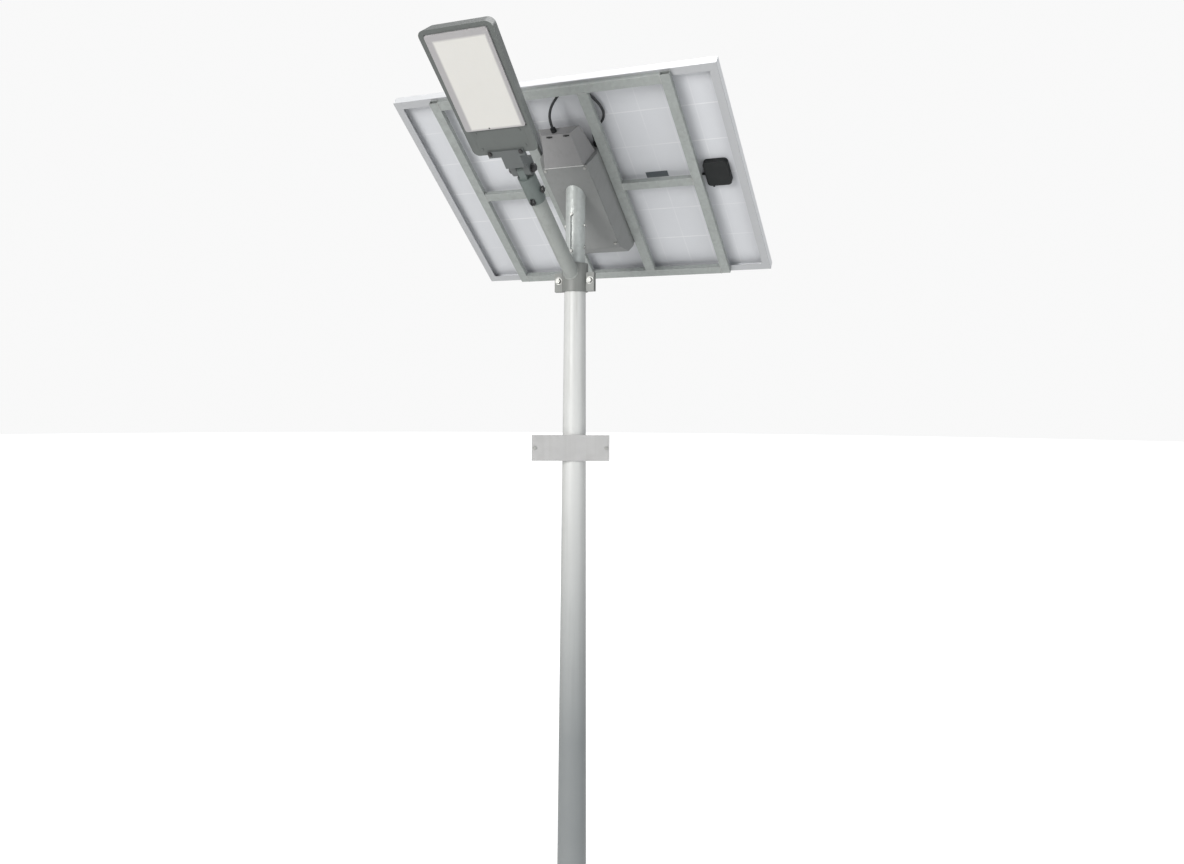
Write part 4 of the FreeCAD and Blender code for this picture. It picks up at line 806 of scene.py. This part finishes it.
arm_finish = sprayed_paint(
    "arm_paint", (0.278, 0.292, 0.28), (0.12, 0.12, 0.11), 0.22, 0.3, (0.34, 0.5)
)
collar_finish = sprayed_paint(
    "collar_paint", (0.195, 0.202, 0.192), (0.09, 0.09, 0.085), 0.25, 0.35, (0.38, 0.55)
)
softened("collar_front", "collar_half_front", 0.0012, collar_finish, "arm")
softened("collar_rear", "collar_half_rear", 0.0012, collar_finish, "arm")
softened("arm_tube", "arm_pipe", 0.0008, arm_finish, "arm", angle=50)
socket_finish = sprayed_paint(
    "socket_paint", (0.118, 0.139, 0.133), (0.06, 0.06, 0.055), 0.25, 0.3, (0.36, 0.52)
)
softened("lamp_socket", "lamp_socket_cast", 0.001, socket_finish, "arm")
dress(bolt_finish, "collar_bolts")
bolt_heads("collar_bolts", (0, 1, 0), bolt_finish, "arm", "zinc_bolt")
black_finish = sprayed_paint(
    "black_oxide", (0.02, 0.02, 0.021), (0.07, 0.06, 0.05), 0.5, 0.3, (0.3, 0.5)
)
dress(black_finish, "socket_bolts")
bolt_heads("socket_bolts", (1, 0, 0), black_finish, "arm", "black_bolt", washers=1.2)

# The weld round the arm's root follows the line where its tube meets the collar.
arm_rise = math.radians(37.4)
arm_root, arm_reach = 3.675, 0.56
arm_along = Vector((0, -math.cos(arm_rise), math.sin(arm_rise)))
arm_up = Vector((0, math.sin(arm_rise), math.cos(arm_rise)))
collar_radius, arm_radius = 0.0502, 0.0287
collar_low, collar_high = 3.634, 3.738
root_line = []
for number in range(weld_steps):
    turn = math.tau * number / weld_steps
    spot = Vector((0, 0, arm_root)) + arm_radius * (
        math.cos(turn) * Vector((1, 0, 0)) + math.sin(turn) * arm_up
    )
    front = -math.sqrt(collar_radius**2 - spot.x**2)
    root_line.append(spot + arm_along * ((front - spot.y) / arm_along.y))
root_line = [spot for spot in root_line if collar_low < spot.z < collar_high]
arm_weld_finish = sprayed_paint(
    "painted_weld", (0.3, 0.315, 0.3), (0.12, 0.1, 0.08), 0.4, 0.35, (0.4, 0.6)
)
grown(
    "arm_root_weld",
    bead_tree,
    seed_lines("arm_root_line", [(root_line, False)]),
    "arm",
    "arm_paint",
    Radius=0.0028,
    Ripple=0.004,
    Metal=arm_weld_finish,
)


# ---- Lamp head ----------------------------------------------------------------------------
# A die cast aluminium case with cooling fins on top, in darker grey-green powder coat.
# An opal lens stands a little proud of its underside; the driver bay has a screwed cover.

lamp_finish = sprayed_paint(
    "lamp_paint", (0.099, 0.108, 0.104), (0.05, 0.05, 0.048), 0.24, 0.25, (0.34, 0.5)
)
softened("lamp_housing", "lamp_case", 0.0022, lamp_finish, "lamp", 3)
softened("driver_cover", "bay_cover", 0.0005, lamp_finish, "lamp")
dress(lamp_finish, "cover_screws")
lamp_rise = math.radians(41)
lamp_place = Matrix.Translation(
    (0, -arm_reach * math.cos(arm_rise), arm_root + arm_reach * math.sin(arm_rise))
) @ Matrix.Rotation(-lamp_rise, 4, "X")
lamp_down = lamp_place.to_3x3() @ Vector((0, 0, -1))
bolt_heads("cover_screws", lamp_down, lamp_finish, "lamp", "zinc_bolt", washers=1.05, sides=20)

lens_finish, lens_tree, lens_shader = new_finish("opal_lens")
lens_coat = add_group(
    lens_tree, mottle_tree, Colour=(0.575, 0.565, 0.54), Spread=0.05, Gloss_Low=0.3, Gloss_High=0.42
)
# The cover gets a grey border, wider on its left and front sides: painted shade standing in for the
# sloping rim of a deeper recess. The border sets in between two distances from the middle of the
# white part.
lens_middle = Vector((-0.008, -0.3635, -0.04))
rim_across, rim_along = (0.089, 0.096), (0.160, 0.168)
lens_where = lens_tree.nodes.new("ShaderNodeTexCoord")
lens_local = lens_tree.nodes.new("ShaderNodeMapping")
lens_local.vector_type = "TEXTURE"
lens_local.inputs["Location"].default_value = lamp_place @ lens_middle
lens_local.inputs["Rotation"].default_value = (-lamp_rise, 0, 0)
lens_axes = lens_tree.nodes.new("ShaderNodeSeparateXYZ")
lens_tree.links.new(lens_where.outputs["Object"], lens_local.inputs["Vector"])
lens_tree.links.new(lens_local.outputs["Vector"], lens_axes.inputs[0])
lens_x = add_math(lens_tree, "ABSOLUTE", lens_axes.outputs["X"])
lens_y = add_math(lens_tree, "ABSOLUTE", lens_axes.outputs["Y"])
lens_edge_x = add_range(lens_tree, lens_x, *rim_across, 0.0, 1.0)
lens_edge_y = add_range(lens_tree, lens_y, *rim_along, 0.0, 1.0)
lens_rim_shade = add_math(lens_tree, "MAXIMUM", lens_edge_x, lens_edge_y)
lens_rim_shade_share = add_math(lens_tree, "MULTIPLY", lens_rim_shade, 0.88)
# Painted shade: the border goes to a dark grey.
lens_shaded_colour = add_mix(lens_tree, lens_rim_shade_share, lens_coat.outputs["Colour"], (0.3, 0.29, 0.3))
lens_tree.links.new(lens_shaded_colour, lens_shader.inputs["Base Color"])
lens_tree.links.new(lens_coat.outputs["Roughness"], lens_shader.inputs["Roughness"])
lens_shader.inputs["Subsurface Weight"].default_value = 0.15
lens_shader.inputs["Subsurface Radius"].default_value = (0.01, 0.009, 0.008)
add_bump(lens_tree, lens_shader, lens_coat.outputs["Height"], 0.12, 0.0001)
softened("lens", "opal_cover", 0.002, lens_finish, "lamp", 3)
gasket_finish = sprayed_paint(
    "seal_rubber", (0.025, 0.025, 0.025), (0.08, 0.08, 0.07), 0.5, 0.2, (0.6, 0.8)
)
dress(gasket_finish, "lens_gasket")
board_finish = sprayed_paint(
    "white_mask", (0.78, 0.78, 0.76), (0.6, 0.6, 0.58), 0.06, 0.05, (0.35, 0.5)
)
dress(board_finish, "led_board")
chip_finish = sprayed_paint(
    "led_phosphor", (0.75, 0.6, 0.14), (0.7, 0.5, 0.1), 0.1, 0.05, (0.2, 0.35)
)
dress(chip_finish, "led_chips")
dress(black_finish, "led_driver")
bracket_finish = sprayed_paint(
    "bracket_paint", (0.095, 0.103, 0.103), (0.05, 0.05, 0.045), 0.25, 0.35, (0.38, 0.55)
)
softened("tilt_bracket", "tilt_bracket_cast", 0.0014, bracket_finish, "lamp")
dress(black_finish, "bracket_bolts", "tilt_bolt")
bolt_heads("bracket_bolts", lamp_down, black_finish, "lamp", "black_bolt", washers=1.2)
bolt_heads("tilt_bolt", (1, 0, 0), black_finish, "lamp", "black_bolt", washers=1.15)
vent_spot = lamp_place @ Vector((-0.034, -0.2, -0.0428))
grown(
    "lens_vent_plug",
    head_tree,
    seed_points("vent_seat", [(vent_spot, lamp_down)]),
    "lamp",
    "seal_rubber",
    Radius=0.0022,
    Height=0.0012,
    Sides=16,
    Washer_Radius=0.0028,
    Washer_Thickness=0.0008,
    Metal=gasket_finish,
)


# ---- Mast and battery box -----------------------------------------------------------------
# A zinc coated sleeve turns on the pole's spigot and is welded under a saddle plate.
# The folded sheet steel battery box above it is sprayed matt grey and closed by screws.

mast_finish = zinc_coat("mast_zinc", (0.5, 0.525, 0.512), (0.25, 0.25, 0.23), 0.3, 0.35)
softened("mast_sleeve", "mast_tube", 0.0007, mast_finish, "panel", angle=50)
dress(bolt_finish, "mast_bolts")
box_finish = sprayed_paint(
    "box_paint", (0.212, 0.217, 0.215), (0.1, 0.1, 0.09), 0.2, 0.2, (0.45, 0.62)
)
softened("saddle_plate", "saddle_sheet", 0.0008, box_finish, "panel")
softened("battery_box_shell", "battery_box_folds", 0.0012, box_finish, "panel")
softened("battery_tray", "battery_tray_folds", 0.0012, box_finish, "panel")
wrap_finish = sprayed_paint(
    "battery_wrap", (0.03, 0.09, 0.3), (0.05, 0.06, 0.1), 0.15, 0.1, (0.25, 0.4)
)
dress(wrap_finish, "battery_pack")
dress(bolt_finish, "box_screws")
panel_down = module_place.to_3x3() @ Vector((0, 0, -1))
bolt_heads("box_screws", panel_down, bolt_finish, "panel", "zinc_bolt", washers=1.2, sides=24)


def in_module(x, y, z):
    """A point given in the module's frame in millimetres: across, down the slope, upwards."""
    return module_place @ Vector((x / 1000, y / 1000, z / 1000))


# A pale bead of sealant closes the joint between the saddle plate and the control box.
sealant_finish = sprayed_paint(
    "pale_sealant", (0.6, 0.6, 0.59), (0.35, 0.34, 0.32), 0.2, 0.3, (0.5, 0.7)
)
sealant_half, sealant_run, sealant_level = 80, -196, -99.6
sealant_ends = [in_module(x, sealant_run, sealant_level) for x in (-sealant_half, sealant_half)]
grown(
    "box_sealant",
    bead_tree,
    seed_lines("sealant_line", [(sealant_ends, False)]),
    "panel",
    "seal_rubber",
    Radius=0.0014,
    Ripple=0.02,
    Unevenness=0.06,
    Metal=sealant_finish,
)


# ---- Control box --------------------------------------------------------------------------
# A wedge-shaped sheet case on the battery box's front wall, with the charge controller in it.
# Two black spring clips near its front edge hold the sloping lid; a gland lets the cable out.

control_finish = sprayed_paint(
    "control_paint", (0.238, 0.236, 0.238), (0.11, 0.1, 0.1), 0.2, 0.2, (0.45, 0.62)
)
softened("control_box_shell", "control_case", 0.0016, control_finish, "panel")
softened("control_box_lid", "control_lid", 0.0008, control_finish, "panel")
green_finish = sprayed_paint(
    "board_green", (0.02, 0.14, 0.06), (0.05, 0.1, 0.05), 0.2, 0.1, (0.3, 0.45)
)
dress(green_finish, "controller_board")
plastic_finish = sprayed_paint(
    "black_plastic", (0.008, 0.0095, 0.01), (0.04, 0.04, 0.038), 0.6, 0.2, (0.45, 0.62), 0.0002
)
plastic_finish.node_tree.nodes["Principled BSDF"].inputs["Specular IOR Level"].default_value = 0.3
dress(plastic_finish, "cable_glands")


def block(bm, xs, ys, zs, place):
    """Adds a box between limits in millimetres, put in place by a function."""
    corners = [bm.verts.new(place(x, y, z)) for x in xs for y in ys for z in zs]
    sides = ((0, 1, 3, 2), (4, 6, 7, 5), (0, 4, 5, 1), (2, 3, 7, 6), (0, 2, 6, 4), (1, 5, 7, 3))
    for side in sides:
        bm.faces.new([corners[number] for number in side])


def from_bmesh(name, bm, finish, body, round_by=0.0):
    """Makes a piece of a built shape, with its edges rounded."""
    bmesh.ops.recalc_face_normals(bm, faces=bm.faces)
    if round_by:
        bmesh.ops.bevel(
            bm,
            geom=list(bm.edges),
            offset=round_by,
            offset_type="OFFSET",
            segments=2,
            profile=0.5,
            affect="EDGES",
            clamp_overlap=True,
        )
    mesh = bpy.data.meshes.new(name)
    bm.to_mesh(mesh)
    bm.free()
    mesh.materials.append(finish)
    mesh.shade_smooth()
    mesh.set_sharp_from_angle(angle=math.radians(50))
    piece = bpy.data.objects.new(name, mesh)
    bpy.context.scene.collection.objects.link(piece)
    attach(piece, body)
    return piece


lid_front, lid_level, lid_length, lid_fall = -318, -60, 122, 40


def on_lid(x, y, z):
    """A point on the control box's sloping lid; y runs back from its front edge."""
    slope = math.atan2(lid_fall, lid_length)
    run = y * math.cos(slope) + z * math.sin(slope)
    fall = y * math.sin(slope) - z * math.cos(slope)
    return in_module(x, lid_front + run, lid_level - fall)


clip_middles, clip_half, tongue_half = (-27, 41), 12, 5
clips = bmesh.new()
for middle in clip_middles:
    block(clips, (middle - clip_half, middle + clip_half), (5, 9), (-4.2, -2.4), on_lid)
    block(clips, (middle - tongue_half, middle + tongue_half), (4, 10), (-5.0, -4.1), on_lid)
from_bmesh("lid_clips", clips, plastic_finish, "panel", 0.0004)


# ---- Support rack -------------------------------------------------------------------------
# Welded rectangular steel tubes, zinc coated: an outer frame, two inner rails and two cross
# rails. Short fillet welds close the joints between them.

rack_finish = zinc_coat("rack_zinc", (0.315, 0.335, 0.325), (0.15, 0.15, 0.14), 0.3, 0.25)
for rail in (
    "rail_left",
    "rail_right",
    "rail_front",
    "rail_back",
    "rail_inner_left",
    "rail_inner_right",
    "cross_rail_left",
    "cross_rail_right",
):
    softened(rail, rail + "_tube", 0.0028, rack_finish, "panel", 3)
dress(rack_finish, "tray_cleats")
# Places of the joints in the module's frame, in millimetres: the faces that meet, then levels.
side_rail, end_rail, rail_wide = 440, 452.5, 36
inner_face, outer_face, cross_low, cross_high = 120, 160, -26, 10
wall_low, wall_high, weld_level, butt_level = -18, -2, -19.8, -19.6
weld_inset = 2
joint_lines = []


def weld_line(start, end):
    """Notes one straight weld between two points in the module's frame."""
    joint_lines.append(([in_module(*start), in_module(*end)], False))


for x in (-side_rail, side_rail):
    for y in (-end_rail, end_rail):
        far = y + (rail_wide if y > 0 else -rail_wide)
        weld_line((x, y, weld_level), (x, far, weld_level))
    for y in (cross_low, cross_high):
        weld_line((x, y, wall_low), (x, y, wall_high))
    weld_line(
        (x, cross_low + weld_inset, butt_level), (x, cross_high - weld_inset, butt_level)
    )
for x in (-outer_face, -inner_face, inner_face, outer_face):
    for y in (-end_rail, end_rail):
        weld_line((x, y, wall_low), (x, y, wall_high))
for side in (-1, 1):
    for y in (-end_rail, end_rail):
        near, far = (inner_face + weld_inset) * side, (outer_face - weld_inset) * side
        weld_line((near, y, butt_level), (far, y, butt_level))
    x = outer_face * side
    weld_line(
        (x, cross_low + weld_inset, butt_level), (x, cross_high - weld_inset, butt_level)
    )
grown(
    "rack_welds",
    bead_tree,
    seed_lines("rack_weld_lines", joint_lines),
    "panel",
    "galvanised",
    Radius=0.0019,
    Ripple=0.0035,
    Metal=weld_finish,
)


# ---- Solar module -------------------------------------------------------------------------
# Twelve by six dark blue wafers under tempered glass, on a pale polymer backsheet, in a clear
# anodised aluminium frame. The cell grid shows faintly through the backsheet.

frame_finish, frame_tree, frame_shader = new_finish("anodised_frame")
frame_coat = add_group(
    frame_tree, mottle_tree, Colour=(0.8, 0.81, 0.825), Spread=0.1, Gloss_Low=0.3, Gloss_High=0.42
)
frame_tree.links.new(frame_coat.outputs["Roughness"], frame_shader.inputs["Roughness"])
frame_shader.inputs["Metallic"].default_value = 0.35
drawn = add_noise(frame_tree, 1.0, 3, stretch=(12, 900, 900))
add_bump(frame_tree, frame_shader, drawn, 0.1, 0.0001)
cell_pitch_x, cell_pitch_y = 0.1031, 0.1586
grid_tree, grid_in, grid_out = socket_group(
    "cell_grid",
    [
        ("Pitch X", "NodeSocketFloat", cell_pitch_x),
        ("Pitch Y", "NodeSocketFloat", cell_pitch_y),
        ("Line", "NodeSocketFloat", 0.0016),
    ],
    [
        ("Across", "NodeSocketFloat"),
        ("Along", "NodeSocketFloat"),
        ("Height", "NodeSocketFloat"),
    ],
)
# Lines between the cells, counted out from the module's middle.
grid_place = grid_tree.nodes.new("ShaderNodeTexCoord")
grid_local = grid_tree.nodes.new("ShaderNodeMapping")
grid_local.vector_type = "TEXTURE"
grid_local.inputs["Location"].default_value = module_middle
grid_local.inputs["Rotation"].default_value = (module_fall, 0, 0)
grid_axes = grid_tree.nodes.new("ShaderNodeSeparateXYZ")
grid_tree.links.new(grid_place.outputs["Object"], grid_local.inputs["Vector"])
grid_tree.links.new(grid_local.outputs["Vector"], grid_axes.inputs[0])
for axis, pitch, output in (("X", "Pitch X", "Across"), ("Y", "Pitch Y", "Along")):
    counted = add_math(grid_tree, "DIVIDE", grid_axes.outputs[axis], grid_in.outputs[pitch])
    nearest = add_math(grid_tree, "ROUND", counted)
    away = add_math(grid_tree, "ABSOLUTE", add_math(grid_tree, "SUBTRACT", counted, nearest))
    real = add_math(grid_tree, "MULTIPLY", away, grid_in.outputs[pitch])
    double = add_math(grid_tree, "MULTIPLY", grid_in.outputs["Line"], 2.0)
    line = add_range(grid_tree, real, grid_in.outputs["Line"], double, 1.0, 0.0)
    grid_tree.links.new(line, grid_out.inputs[output])
grid_tree.links.new(grid_axes.outputs["Z"], grid_out.inputs["Height"])

# The flange under the frame is painted darker than its drawn and brushed walls: painted shade on
# the down-facing side of the same anodised metal.
frame_grid = add_group(frame_tree, grid_tree)
flange_shade_share = add_range(frame_tree, frame_grid.outputs["Height"], 0.0018, 0.003, 0.0, 1.0)
# Painted shade: the flange takes a darker grey than the walls.
frame_lit_and_shaded_colour = add_mix(frame_tree, flange_shade_share, (0.43, 0.437, 0.45), frame_coat.outputs["Colour"])
frame_tree.links.new(frame_lit_and_shaded_colour, frame_shader.inputs["Base Color"])
for side in ("front", "back", "left", "right"):
    softened(f"frame_{side}", f"frame_bar_{side}", 0.0005, frame_finish, "panel")

sheet_finish, sheet_tree, sheet_shader = new_finish("backsheet_film")
sheet_coat = add_group(
    sheet_tree, mottle_tree, Colour=(0.565, 0.575, 0.6), Spread=0.1, Gloss_Low=0.42, Gloss_High=0.55
)
sheet_grid = add_group(sheet_tree, grid_tree, Line=0.0015)
grid_fade = add_range(sheet_tree, add_noise(sheet_tree, 9.0, 3), 0.35, 0.65, 0.25, 1.0)
line_along = add_math(sheet_tree, "MULTIPLY", sheet_grid.outputs["Along"], 0.75)
line_across = add_math(sheet_tree, "MULTIPLY", sheet_grid.outputs["Across"], 0.35)
line_any = add_math(sheet_tree, "MAXIMUM", line_along, line_across)
line_share = add_math(sheet_tree, "MULTIPLY", line_any, grid_fade)
sheet_lined = add_mix(sheet_tree, line_share, sheet_coat.outputs["Colour"], (0.72, 0.72, 0.735))
sheet_tree.links.new(sheet_lined, sheet_shader.inputs["Base Color"])
sheet_tree.links.new(sheet_coat.outputs["Roughness"], sheet_shader.inputs["Roughness"])
sheet_wave = add_noise(sheet_tree, 20.0, 3)
sheet_height = add_math(sheet_tree, "MULTIPLY_ADD", line_any, -0.5, sheet_wave)
add_bump(sheet_tree, sheet_shader, sheet_height, 0.3, 0.0005)
dress(sheet_finish, "backsheet")

cell_finish, cell_tree, cell_shader = new_finish("silicon_cells")
cell_coat = add_group(
    cell_tree, mottle_tree, Colour=(0.008, 0.016, 0.055), Spread=0.5, Gloss_Low=0.18, Gloss_High=0.3
)
# Three bright busbars cross each wafer, over fine contact fingers.
bar_grid = add_group(
    cell_tree, grid_tree, Pitch_X=cell_pitch_x / 3, Pitch_Y=0.0026, Line=0.0006
)
finger_share = add_math(cell_tree, "MULTIPLY", bar_grid.outputs["Along"], 0.12)
fingered = add_mix(cell_tree, finger_share, cell_coat.outputs["Colour"], (0.35, 0.37, 0.4))
barred = add_mix(cell_tree, bar_grid.outputs["Across"], fingered, (0.62, 0.63, 0.64))
cell_tree.links.new(barred, cell_shader.inputs["Base Color"])
cell_tree.links.new(cell_coat.outputs["Roughness"], cell_shader.inputs["Roughness"])
dress(cell_finish, "solar_cells")

glass_finish, glass_tree, glass_shader = new_finish("front_glass")
glass_shader.inputs["Base Color"].default_value = (0.96, 0.985, 0.98, 1)
glass_shader.inputs["Transmission Weight"].default_value = 1.0
glass_shader.inputs["IOR"].default_value = 1.5
dust = add_range(glass_tree, add_noise(glass_tree, 5.0, 7, rough=0.7), 0.45, 0.8, 0.03, 0.16)
glass_tree.links.new(dust, glass_shader.inputs["Roughness"])
add_bump(glass_tree, glass_shader, add_noise(glass_tree, 500.0, 2), 0.05, 0.00005)
dress(glass_finish, "glass")

softened("junction_box_base", "junction_base", 0.0012, plastic_finish, "panel")
softened(
    "junction_box_lid",
    "junction_lid_shell",
    0.0024,
    plastic_finish,
    "junction_lid",
    3,
)
label_finish = sprayed_paint(
    "label_film", (0.085, 0.1, 0.11), (0.15, 0.16, 0.16), 0.3, 0.3, (0.3, 0.45)
)
dress(label_finish, "rating_label")
dress(bolt_finish, "module_bolts")

# Two ribbed glands stand on the junction box: one faces the rail, one faces down the slope.
gland_tree, gland_in, gland_out = tree_with(
    "ribbed_gland",
    [
        ("Radius", "NodeSocketFloat", 0.006),
        ("Ribs", "NodeSocketFloat", 5.0),
        ("Plastic", "NodeSocketMaterial", None),
    ],
)
gland_line = gland_tree.nodes.new("GeometryNodeMeshToCurve")
gland_step = gland_tree.nodes.new("GeometryNodeResampleCurve")
gland_step.inputs["Count"].default_value = 40
gland_where = gland_tree.nodes.new("GeometryNodeSplineParameter")
gland_ring = gland_tree.nodes.new("GeometryNodeCurvePrimitiveCircle")
gland_ring.inputs["Resolution"].default_value = 20
gland_skin = gland_tree.nodes.new("GeometryNodeCurveToMesh")
gland_skin.inputs["Fill Caps"].default_value = True
gland_real = gland_tree.nodes.new("GeometryNodeRealizeInstances")
gland_plastic = gland_tree.nodes.new("GeometryNodeSetMaterial")
rib_turn = add_math(gland_tree, "MULTIPLY", gland_in.outputs["Ribs"], math.tau)
rib_phase = add_math(gland_tree, "MULTIPLY", gland_where.outputs["Factor"], rib_turn)
rib_wave = add_math(gland_tree, "SINE", rib_phase)
rib_taper = add_math(gland_tree, "MULTIPLY_ADD", gland_where.outputs["Factor"], -0.3, 1.0)
rib_size = add_math(gland_tree, "MULTIPLY_ADD", rib_wave, 0.07, rib_taper)
gland_tree.links.new(gland_in.outputs["Seed"], gland_line.inputs[0])
chain(gland_tree, gland_line, gland_step, gland_skin, gland_real, gland_plastic, gland_out)
gland_tree.links.new(gland_in.outputs["Radius"], gland_ring.inputs["Radius"])
gland_tree.links.new(gland_ring.outputs[0], gland_skin.inputs["Profile Curve"])
gland_tree.links.new(rib_size, gland_skin.inputs["Scale"])
gland_tree.links.new(gland_in.outputs["Plastic"], gland_plastic.inputs["Material"])
gland_level = 22.3
grown(
    "junction_glands",
    gland_tree,
    seed_lines(
        "gland_lines",
        [
            ([in_module(484.5, -5, gland_level), in_module(468, -5, gland_level)], False),
            ([in_module(500, 43.5, gland_level), in_module(500, 60, gland_level)], False),
        ],
    ),
    "panel",
    "black_plastic",
    Radius=0.006,
    Plastic=plastic_finish,
)
